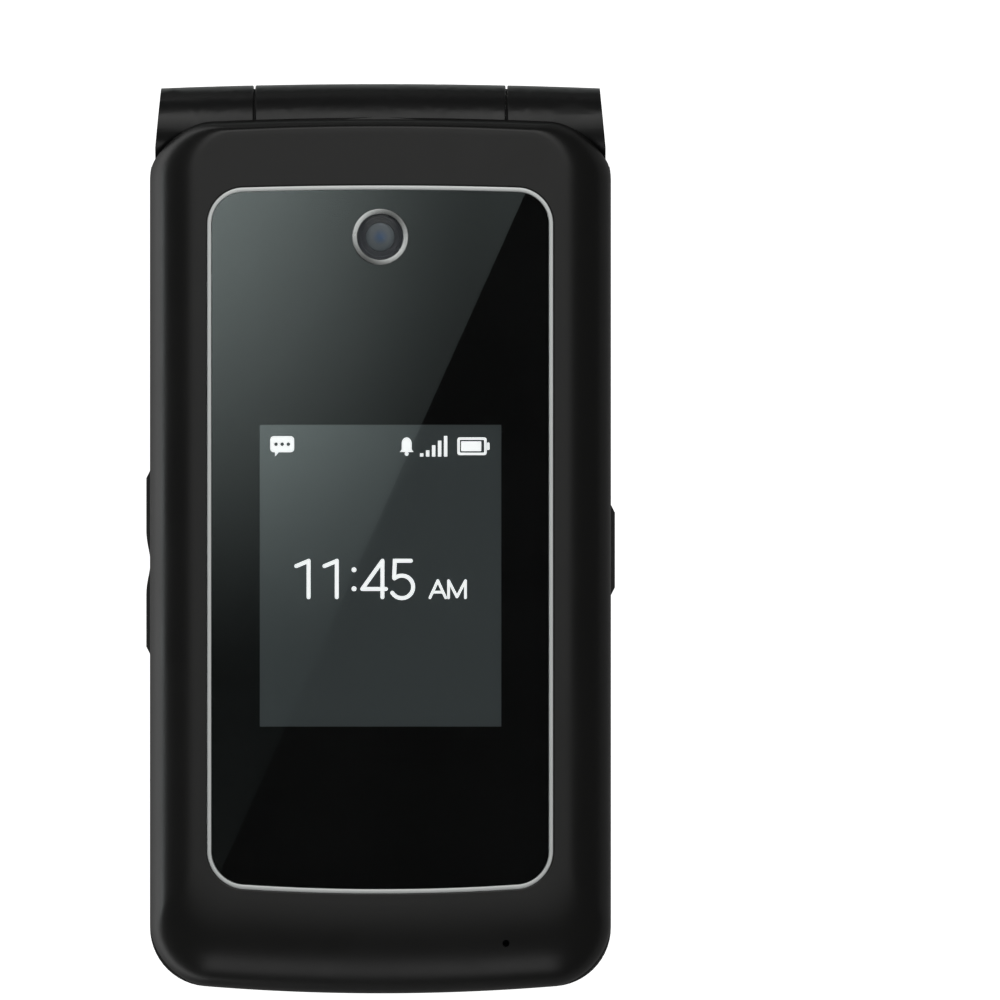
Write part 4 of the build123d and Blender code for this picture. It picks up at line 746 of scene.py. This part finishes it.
def makeDisplay():
    # a frame with a chamfered upper edge, and the lit panel in it
    d = display
    centre = (d["x"], d["y"])
    inwards, start, end = d["chamfer"]
    outer = roundedLine(d["frameWidth"], d["frameLength"], d["corner"], centre)
    inner = roundedLine(d["frameWidth"] - inwards, d["frameLength"] - inwards, 0.5, centre)
    rows = [rise(outer, d["frameFloor"]), rise(outer, d["panelTop"] - start),
            rise(inner, d["panelTop"] - end)]
    stackSolid("displayModule", rows, "lid", look["partBlack"], replaces="outer_display",
               slot="display_panel")
    glow = roundedLine(d["width"] + d["panelLap"], d["length"] + d["panelLap"], 0.3, centre)
    rows = [rise(glow, d["panelTop"] - d["panelThick"]), rise(glow, d["panelTop"])]
    stackSolid("displayPanel", rows, "lid", look["displayGlow"], slot="display_panel")


makeDisplay()


def platePiece(name, shapes, floor, top, bodyName, material, slot):
    # flat plates in one piece; a shape is an outline, or an outer and an inner line for a ring;
    # each plate stands a little over the one before, so that none share a face
    points, faces, first = [], [], 0
    lift = 0.002
    for index, shape in enumerate(shapes):
        high = top + lift * index
        if isinstance(shape, tuple):
            outer, inner = shape
            rows = [rise(outer, floor), rise(outer, high), rise(inner, high), rise(inner, floor)]
            faces += gridFaces(4, len(outer), True, True, first)
        else:
            count = len(shape)
            rows = [rise(shape, floor), rise(shape, high)]
            faces += gridFaces(2, count, False, True, first) + endFaces(count, first, first + count)
        points += rows
        first += sum(len(row) for row in rows)
    return addPiece(name, np.vstack(points), faces, bodyName, material, sharp=30, slot=slot)


def strokeLine(path, width, capPoints=8):
    # the outline of a line of constant width with round ends
    path = np.asarray(path, float)
    step = np.diff(path, axis=0)
    step /= np.linalg.norm(step, axis=1)[:, None]
    ahead = np.vstack([step, step[-1]])
    behind = np.vstack([step[0], step])
    both = ahead + behind
    both /= np.linalg.norm(both, axis=1)[:, None]
    normal = np.stack([-both[:, 1], both[:, 0]], -1)
    bluntest = 0.35      # keeps the outline short where the path turns sharply
    stretch = 1 / np.maximum((both * ahead).sum(1), bluntest)
    shift = normal * (stretch * width / 2)[:, None]

    def cap(centre, direction):
        start = math.atan2(direction[1], direction[0]) + math.pi / 2
        turn = start - np.linspace(0, math.pi, capPoints + 2)[1:-1]
        return centre + width / 2 * np.stack([np.cos(turn), np.sin(turn)], -1)

    return np.vstack([path + shift, cap(path[-1], step[-1]), (path - shift)[::-1], cap(path[0], -step[0])])


def arcPath(centre, radiusX, radiusY, start, end, steps=20):
    turn = np.radians(np.linspace(start, end, steps))
    return [(centre[0] + radiusX * math.cos(t), centre[1] + radiusY * math.sin(t)) for t in turn]


def oval(x, y, radiusX, radiusY):
    return {"centre": (x, y), "radii": (radiusX, radiusY)}


# each figure in a box one high, as lines and closed ovals to draw
figures = {
    "0": [oval(0.33, 0.5, 0.31, 0.48)],
    "1": [[(0.0, 0.855), (0.337, 0.995)], [(0.337, 1.0), (0.337, 0.0)]],
    "2": [arcPath((0.33, 0.69), 0.31, 0.3, 165, -35) + [(0.03, 0.0)], [(0.03, 0.0), (0.68, 0.0)]],
    "3": [arcPath((0.32, 0.745), 0.27, 0.245, 150, -90), arcPath((0.32, 0.25), 0.31, 0.25, 90, -150)],
    "4": [[(0.554, 0.0), (0.554, 1.0)], [(0.554, 1.0), (0.0, 0.226)], [(0.0, 0.226), (0.65, 0.226)]],
    "5": [[(0.54, 1.0), (0.1, 1.0), (0.08, 0.53)], arcPath((0.294, 0.283), 0.31, 0.31, 131, -149)],
    "6": [oval(0.34, 0.29, 0.3, 0.29), arcPath((0.66, 0.3), 0.62, 0.7, 178, 103)],
    "7": [[(0.0, 1.0), (0.66, 1.0)], [(0.66, 1.0), (0.2, 0.0)]],
    "8": [oval(0.34, 0.75, 0.25, 0.24), oval(0.34, 0.255, 0.31, 0.255)],
    "9": [oval(0.34, 0.71, 0.3, 0.29), arcPath((0.02, 0.7), 0.62, 0.7, -2, -77)],
    "star": [[(0.33, 0.15), (0.33, 0.85)], [(0.03, 0.325), (0.63, 0.675)], [(0.03, 0.675), (0.63, 0.325)]],
    "hash": [[(0.2, 0.08), (0.28, 0.92)], [(0.47, 0.08), (0.55, 0.92)], [(0.02, 0.33), (0.7, 0.33)],
             [(0.05, 0.67), (0.73, 0.67)]],
    "A": [[(0.0, 0.0), (0.46, 1.0)], [(0.46, 1.0), (0.917, 0.0)], [(0.16, 0.33), (0.75, 0.33)]],
    "M": [[(0.0, 0.0), (0.0, 1.0)], [(0.0, 1.0), (0.49, 0.05)], [(0.49, 0.05), (0.985, 1.0)],
          [(0.985, 1.0), (0.985, 0.0)]],
    "handset": [arcPath((0.5, 0.0), 0.75, 0.62, 148, 32), [(-0.14, 0.3), (0.03, 0.12)],
                [(0.97, 0.12), (1.14, 0.3)]],
    "dash": [[(0.0, 0.5), (1.1, 0.5)]],
}
clock = {
    "floor": 17.62,
    "top": 17.68,
    "stroke": 0.48,
    "height": 4.42,
    "baseline": -7.11,
    "places": [("1", -10.19), ("1", -6.77), ("4", -2.19), ("5", 1.32)],
    "colonX": -3.19,
    "colonY": (-3.78, -6.08),
    "colonRadius": 0.3,
    "smallStroke": 0.33,
    "smallHeight": 2.08,
    "smallDrop": 0.07,
    "smallPlaces": [("A", 6.02), ("M", 8.28)],
}


def figureShapes(letter, x, y, height, stroke):
    # the plates of one figure, with its lower left corner at (x, y)
    shapes = []
    for part in figures[letter]:
        if isinstance(part, dict):
            turn = fullTurn(40)
            middle = np.array([x, y]) + np.array(part["centre"]) * height
            around = np.stack([np.cos(turn), np.sin(turn)], -1)
            radii = np.array(part["radii"]) * height
            shapes.append((middle + around * (radii + stroke / 2), middle + around * (radii - stroke / 2)))
        else:
            shapes.append(strokeLine(np.array(part) * height + np.array([x, y]), stroke))
    return shapes


def displaySymbol(name, shapes, material="symbolWhite", lift=0.0):
    platePiece(name, shapes, clock["floor"], clock["top"] + lift, "lid", look[material], "display_panel")


def drawClock():
    shapes = []
    for letter, x in clock["places"]:
        shapes += figureShapes(letter, x, clock["baseline"], clock["height"], clock["stroke"])
    shapes += [circleLine(clock["colonRadius"], (clock["colonX"], y), 24) for y in clock["colonY"]]
    displaySymbol("clockFigures", shapes)
    small = []
    for letter, x in clock["smallPlaces"]:
        small += figureShapes(letter, x, clock["baseline"] - clock["smallDrop"], clock["smallHeight"],
                              clock["smallStroke"])
    displaySymbol("clockLetters", small)


# the signs along the display's upper edge; a share is of the row's height, a Y of the row's middle
icons = {"top": 12.45, "bottom": 9.95}
bubble = {"x": -11.9, "y": 0.1, "width": 2.9, "share": 0.78, "corner": 0.45, "tailFrom": -0.3, "tailX": 0.3,
          "tailWidth": 0.8, "dotPitch": 0.75, "dotRadius": 0.22}
bell = {"x": 3.2, "rim": (0.85, -0.7), "waist": (0.6, -0.4), "domeY": 0.35, "domeHeight": 0.72,
        "clapperY": -0.92, "clapperRadius": 0.24}
bars = {"x": 4.81, "pitch": 0.726, "width": 0.42, "shares": (0.16, 0.3, 0.55, 0.77, 1.0)}
battery = {"x": 11.12, "width": 3.56, "share": 0.86, "corner": 0.3, "line": 0.3, "innerCorner": 0.12,
           "fill": (1.1, 0.95), "fillX": -0.1, "fillCorner": 0.1, "tip": (0.3, 0.36), "tipX": 0.2,
           "tipCorner": 0.08}


def drawIcons():
    low = icons["bottom"]
    height = icons["top"] - low
    middle = (icons["top"] + low) / 2
    # speech bubble with a tail and three dots
    b = bubble
    y = middle + height * b["y"]
    left = b["x"] - b["width"] * b["tailX"]
    root = middle + b["tailFrom"]
    tail = np.array([(left, root), (left + b["tailWidth"], root), (left, low)])
    displaySymbol("bubble", [roundedLine(b["width"], height * b["share"], b["corner"], (b["x"], y)), tail])
    places = [(b["x"] + k * b["dotPitch"], y) for k in (-1, 0, 1)]
    displaySymbol("bubbleDots", [circleLine(b["dotRadius"], place, 16) for place in places],
                  "symbolDark", 0.01)
    # bell with its clapper
    b = bell
    side = [b["rim"], b["waist"]]
    line = [(b["x"] - x, middle + y) for x, y in side]
    line += arcPath((b["x"], middle + b["domeY"]), b["waist"][0], b["domeHeight"], 180, 0, 14)
    line += [(b["x"] + x, middle + y) for x, y in side[::-1]]
    clapper = circleLine(b["clapperRadius"], (b["x"], middle + b["clapperY"]), 16)
    displaySymbol("bell", [np.array(line)[::-1], clapper])
    # rising bars
    plates = []
    for index, share in enumerate(bars["shares"]):
        x, top = bars["x"] + bars["pitch"] * index, low + height * share
        right = x + bars["width"]
        plates.append(np.array([(x, low), (right, low), (right, top), (x, top)]))
    displaySymbol("signalBars", plates)
    # battery sign: a frame, its filling and its tip
    b = battery
    x, width, tall = b["x"], b["width"], height * b["share"]
    outline = (roundedLine(width, tall, b["corner"], (x, middle)),
               roundedLine(width - 2 * b["line"], tall - 2 * b["line"], b["innerCorner"], (x, middle)))
    fill = roundedLine(width - b["fill"][0], tall - b["fill"][1], b["fillCorner"], (x + b["fillX"], middle))
    tip = roundedLine(b["tip"][0], height * b["tip"][1], b["tipCorner"], (x + width / 2 + b["tipX"], middle))
    displaySymbol("batterySign", [outline, fill, tip])


drawClock()
drawIcons()
print("display made")


def turned(name, profile, centre, bodyName, material, count=96, closed=True, **more):
    # a profile of (radius, height) pairs turned about a vertical axis
    rows = [rise(circleLine(radius, centre, count), z) for radius, z in profile]
    maker = ringSolid if closed else stackSolid
    return maker(name, rows, bodyName, material, **more)


lens = {"radius": 1.7, "floor": 17.97, "height": 0.3, "blue": 0.75}
cover = {"gap": 0.01, "floor": 18.45, "side": 18.6, "top": 18.65, "chamfer": 0.1}
# the black barrel round the lens goes down in steps: radius and height of each
barrelSteps = [(2.4, 18.38), (2.35, 18.15), (1.8, 18.12), (1.74, lens["floor"])]


def makeCamera():
    centre = (0, camera["y"])
    ring, width, edge = camera["ring"], camera["ringWidth"], camera["edge"]
    profile = roundedProfile(width, camera["ringFloor"], camera["top"], edge)
    turned("cameraRing", [(ring - inset, z) for inset, z in profile], centre, "lid", look["ringSilver"],
           sharp=60, replaces="camera_ring", slot="trim_metal")
    bore = ring - width
    steps = [(bore - 0.02, 18.4)] + barrelSteps + [(bore - 0.02, lens["floor"])]
    turned("lensBarrel", steps, centre, "lid", look["lensRim"], slot="black_plastic")
    dome = [(lens["radius"] * math.sin(t), lens["floor"] + lens["height"] * math.cos(t))
            for t in np.linspace(math.pi / 2, 0.03, 14)]
    turned("lensElement", [(lens["radius"], lens["floor"] - 0.02)] + dome, centre, "lid", look["lensCoat"],
           closed=False, slot="camera_glass")
    wide = bore - cover["gap"]
    pane = [(wide, cover["floor"]), (wide, cover["side"]), (bore - cover["chamfer"], cover["top"])]
    glass = turned("lensCover", pane, centre, "lid", look["lensGlass"], closed=False,
                   replaces="camera_lens", slot="camera_glass")
    glass.visible_shadow = False         # lets the light in to the barrel


def makeLensCoat():
    # coated glass, blue in the middle and grey towards the rim
    material, tree, shader, place = newMaterial("lensCoat")
    scale = 1 / (lens["radius"] * mm)
    onLens = addNode(tree, "ShaderNodeMapping", Vector=place, Scale=(scale, scale, 0),
                     Location=(0, -camera["y"] * mm * scale, 0))
    ball = addNode(tree, "ShaderNodeTexGradient", gradient_type="SPHERICAL", Vector=onLens.outputs["Vector"])
    colours = addNode(tree, "ShaderNodeValToRGB", Fac=ball.outputs["Fac"])
    rim, middle = colours.color_ramp.elements
    rim.color, middle.color = (0.14, 0.165, 0.16, 1), (0.055, 0.12, 0.22, 1)
    edge = 1 - lens["blue"] / lens["radius"]      # where the blue ends, counted from the rim
    rim.position, middle.position = edge - 0.15, edge + 0.35
    fill(tree, shader, Base_Color=colours.outputs["Color"], Roughness=worn(tree, place, 300.0, 0.04, 0.08))
    return material


look["lensCoat"] = makeLensCoat()
makeCamera()
print("camera made")

for node, name, bodyName, material in (
    ("front_housing", "frontHousing", "base", "bodyBlack"),
    ("lid_inner_cover", "lidInnerCover", "lid", "bodyBlack"),
    ("volume_rocker", "volumeRocker", "volume_rocker", "bodyBlack"),
    ("side_key", "sideKey", "side_key", "bodyBlack"),
    ("speaker_grille", "speakerGrille", "battery_cover", "grilleBlack"),
):
    copyNode(node, name, bodyName, look[material])


def makeSplitWashers():
    # a dark washer in each split of the barrel: an annulus turned about the hinge axis
    washer = {"split": 15.3, "half": 0.098, "inner": 3.4, "outer": 4.6, "count": 72}
    turn = fullTurn(washer["count"])
    for side, label in ((-1, "Left"), (1, "Right")):
        rows = []
        for radius, step in ((washer["inner"], -1), (washer["outer"], -1), (washer["outer"], 1),
                             (washer["inner"], 1)):
            x = np.full(washer["count"], side * washer["split"] + step * washer["half"])
            rows.append(np.column_stack([x, body["hingeY"] + radius * np.cos(turn),
                                         body["hingeZ"] + radius * np.sin(turn)]))
        ringSolid("splitWasher" + label, rows, "base", look["rubberBlack"], slot="black_plastic")


makeSplitWashers()
print("housings made")

legend = {"figure": (4.2, 0.5), "sign": (2.6, 0.55), "thick": 0.02}     # a mark's height and stroke


def keyTop(node):
    # the middle of a node's top face and its height, in millimetres
    low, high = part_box(node)
    return (low[0] + high[0]) / 2 / mm, (low[1] + high[1]) / 2 / mm, high[2] / mm


def centred(shapes, x, y, turn=1):
    # shapes moved so that their common middle lies at (x, y); turn -1 stands them on their head
    lines = [line for shape in shapes for line in (shape if isinstance(shape, tuple) else (shape,))]
    points = np.vstack(lines)
    middle = (points.max(0) + points.min(0)) / 2
    place = np.array([x, y])

    def move(line):
        return (line - middle) * turn + place

    return [tuple(move(line) for line in shape) if isinstance(shape, tuple) else move(shape)
            for shape in shapes]


def addLegend(node, shapes, material="legendWhite"):
    top = keyTop(node)[2]
    platePiece("legend_" + node, shapes, top - legend["thick"], top + legend["thick"], node, look[material],
               "key_plastic")


def keyLegend(node, figure, material="legendWhite", turn=1, size="sign"):
    addLegend(node, centred(figureShapes(figure, 0, 0, *legend[size]), *keyTop(node)[:2], turn), material)


for digit in ("1", "2", "3", "4", "5", "6", "7", "8", "9", "star", "0", "hash"):
    keyLegend("key_" + digit, digit, size="figure")
for node in ("key_soft_left", "key_soft_right"):
    keyLegend(node, "dash")
keyLegend("key_send", "handset", "legendGreen")
keyLegend("key_end", "handset", "legendRed", turn=-1)


def markNavigation():
    # four small pointers round the ring, and a small circle on the middle key
    place = np.array(keyTop("nav_ring")[:2])
    reach, size = 7.6, 0.75
    shapes = []
    for turn in np.radians((0, 90, 180, 270)):
        tip = [(reach + size, 0), (reach - size * 0.6, size), (reach - size * 0.6, -size)]
        spin = np.array([(math.cos(turn), math.sin(turn)), (-math.sin(turn), math.cos(turn))])
        shapes.append(np.array(tip) @ spin + place)
    addLegend("nav_ring", shapes)
    addLegend("key_ok", [tuple(circleLine(radius, keyTop("key_ok")[:2], 40) for radius in (1.5, 1.05))])


markNavigation()
print("legends made")


studio = {
    "cameraX": 14.52, "cameraY": 4.68, "cameraHeight": 3387.4, "lens": 1000.0,
    "worldDark": 0.09, "worldPale": 1.4,
}


def makeFloor():
    # a wide ring that leaves out the phone's own outline, a hair below its back
    f = {"gap": 1.2, "height": -0.05, "times": 150, "dark": (0.48,) * 3, "light": (0.52,) * 3, "seen": 1.25}
    mesh = bpy.data.meshes.new("floor")
    line = bodyPlan(body["coverHingeEdge"], f["gap"], 0, (0, 0, 0))
    points = np.vstack([rise(line, f["height"]), rise(line * f["times"], f["height"])]) * mm
    mesh.from_pydata(points.tolist(), [], [face[::-1] for face in gridFaces(2, len(line), False, True)])
    floor = addObject("floor", mesh)
    material, tree, shader, place = newMaterial("paleFloor")
    # it shines by itself, so that it stays pale under the soft light; in reflections it is
    # bright at the left and dim elsewhere
    split = addNode(tree, "ShaderNodeSeparateXYZ", Vector=place)
    fade = addNode(tree, "ShaderNodeMapRange", Value=split.outputs["X"], From_Min=-0.075, From_Max=-0.035,
                   To_Min=1.3, To_Max=0.05)
    path = tree.nodes.new("ShaderNodeLightPath")
    either = addNode(tree, "ShaderNodeMix", Factor=path.outputs["Is Camera Ray"], A=fade.outputs["Result"],
                     B=f["seen"])
    fill(tree, shader, Base_Color=drift(tree, place, 3.0, f["dark"], f["light"]), Roughness=0.9,
         Specular_IOR_Level=0.1, Emission_Color=(0.9, 0.9, 0.9, 1), Emission_Strength=either.outputs[0])
    # seen from below it is clear, so that the phone's back shows
    sides = tree.nodes.new("ShaderNodeMixShader")
    below = tree.nodes.new("ShaderNodeNewGeometry").outputs["Backfacing"]
    clear = tree.nodes.new("ShaderNodeBsdfTransparent").outputs[0]
    for socket, source in zip(sides.inputs, (below, shader.outputs[0], clear)):
        tree.links.new(source, socket)
    fill(tree, tree.nodes["Material Output"], Surface=sides.outputs[0])
    mesh.materials.append(material)
    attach(floor, "battery_cover")      # it drops with the cover, which comes off downwards


def addCard(name, corners, faces, strength, colour=(1, 1, 1), fades=()):
    # a glowing card; each fade is (axis, where it starts, where it ends, value there and there)
    mesh = bpy.data.meshes.new(name)
    mesh.from_pydata((np.asarray(corners, float) * mm).tolist(), [], faces)
    card = addObject(name, mesh)
    material = bpy.data.materials.new(name)
    material.use_nodes = True
    tree = material.node_tree
    tree.nodes.clear()
    place = tree.nodes.new("ShaderNodeTexCoord").outputs["Object"]
    split = addNode(tree, "ShaderNodeSeparateXYZ", Vector=place)
    level = strength
    for axis, start, end, low, high in fades:
        fade = addNode(tree, "ShaderNodeMapRange", interpolation_type="SMOOTHSTEP", Value=split.outputs[axis],
                       From_Min=start * mm, From_Max=end * mm, To_Min=low, To_Max=high)
        level = addMath(tree, "MULTIPLY", fade.outputs["Result"], level)
    glow = addNode(tree, "ShaderNodeEmission", Color=(*colour, 1), Strength=level)
    addNode(tree, "ShaderNodeOutputMaterial", Surface=glow.outputs[0])
    mesh.materials.append(material)
    card.visible_camera = False
    card.visible_shadow = False


def addStrip(name, half, near, far, strength, colour=(1, 1, 1), fades=()):
    # a card across the view; near and far are the (y, z) places of its two long edges
    corners = [(-half, *near), (half, *near), (half, *far), (-half, *far)]
    addCard(name, corners, [(0, 1, 2, 3)], strength, colour, fades)


def makeCeiling():
    # a soft ceiling with an opening; what lies in the opening shows in the window
    c = {"height": 1220, "left": -560, "right": 560, "free": -380, "hinge": 1200,
         "hole": (-40, 29, -68, 64), "strength": 0.85}
    xs = (c["left"], c["hole"][0], c["hole"][1], c["right"])
    ys = (c["free"], c["hole"][2], c["hole"][3], c["hinge"])
    corners = [(x, y, c["height"]) for y in ys for x in xs]
    faces = [(r * 4 + k, r * 4 + k + 1, r * 4 + k + 5, r * 4 + k + 4) for r in range(3) for k in range(3)
             if (r, k) != (1, 1)]
    addCard("ceiling", corners, faces, c["strength"], (1, 1, 0.985),
            [("Y", c["free"], 850, 0.36, 1.8), ("X", c["left"], -330, 0.0, 1.0),
             ("X", 330, c["right"], 1.0, 0.0)])


def makeGlareCard():
    # the graded card in the ceiling's opening, cut along a straight slanted line
    card = {"height": 1220, "edgeTop": (18.53, 54.8), "edgeBottom": (-20.7, -32.6), "left": -40, "right": 29,
            "top": 64, "bottom": -68, "strength": 2.1, "beside": 0.02}
    top, low = np.array(card["edgeTop"]), np.array(card["edgeBottom"])
    run = (top - low) / (top - low)[1]
    upper = tuple(low + run * (card["top"] - low[1]))
    lower = tuple(low + run * (card["bottom"] - low[1]))
    left = [(card["left"], card["bottom"]), lower, upper, (card["left"], card["top"])]
    addCard("glareCard", [(x, y, card["height"]) for x, y in left], [(3, 2, 1, 0)], card["strength"],
            (0.86, 1.0, 0.98), [("X", -43.7, 12.0, 1.15, 0.2), ("Y", -26.0, 100.0, 0.03, 1.28)])
    right = [lower, (card["right"], card["bottom"]), (card["right"], card["top"]), upper]
    addCard("besideGlare", [(x, y, card["height"]) for x, y in right], [(3, 2, 1, 0)], card["beside"])


def makeSideCard():
    # a card standing low at the left, which the side of the lid picks up; it fades towards both ends
    c = {"x": -700, "half": 260, "soft": 90, "low": 5, "high": 80, "strength": 3.2}
    corners = [(c["x"], -c["half"], c["low"]), (c["x"], c["half"], c["low"]),
               (c["x"], c["half"], c["high"]), (c["x"], -c["half"], c["high"])]
    addCard("sideCard", corners, [(0, 1, 2, 3)], c["strength"], (0.93, 1.0, 1.0),
            [("Y", -c["half"], -c["soft"], 0, 1), ("Y", c["soft"], c["half"], 1, 0)])


def makeWorld():
    # dark to reflections and light, pale to the camera
    world = bpy.data.worlds.new("studio")
    bpy.context.scene.world = world
    world.use_nodes = True
    tree = world.node_tree
    tree.nodes.clear()
    seen = tree.nodes.new("ShaderNodeLightPath").outputs["Is Camera Ray"]
    mix = tree.nodes.new("ShaderNodeMixShader")
    tree.links.new(seen, mix.inputs[0])
    for index, strength in ((1, studio["worldDark"]), (2, studio["worldPale"])):
        background = addNode(tree, "ShaderNodeBackground", Strength=strength)
        tree.links.new(background.outputs[0], mix.inputs[index])
    addNode(tree, "ShaderNodeOutputWorld", Surface=mix.outputs[0])


def makeCameraView():
    lens = bpy.data.cameras.new("view")
    lens.lens = studio["lens"]
    lens.sensor_width = 36.0
    lens.clip_start, lens.clip_end = 0.05, 20.0
    eye = addObject("view", lens)
    eye.location = (studio["cameraX"] * mm, studio["cameraY"] * mm, studio["cameraHeight"] * mm)
    bpy.context.scene.camera = eye


makeFloor()
makeWorld()
makeCeiling()
makeGlareCard()
# a dim card low beyond the free end
addStrip("frontCard", 320, (-1150, 480), (-900, 900), 0.84)
makeSideCard()
# a strip lying on the floor beyond the barrel, which the barrel's far side picks up
addStrip("hingeCard", 34, (57, 0.4), (88, 0.4), 0.46, (0.95, 1.0, 0.98), [("Y", 57, 88, 1, 0)])
# a soft card far below, which lights the back through the floor's opening
addStrip("lowCard", 500, (-500, -900), (500, -900), 1.0)
makeCameraView()
bpy.context.scene.view_settings.view_transform = "Standard"
print("studio made")
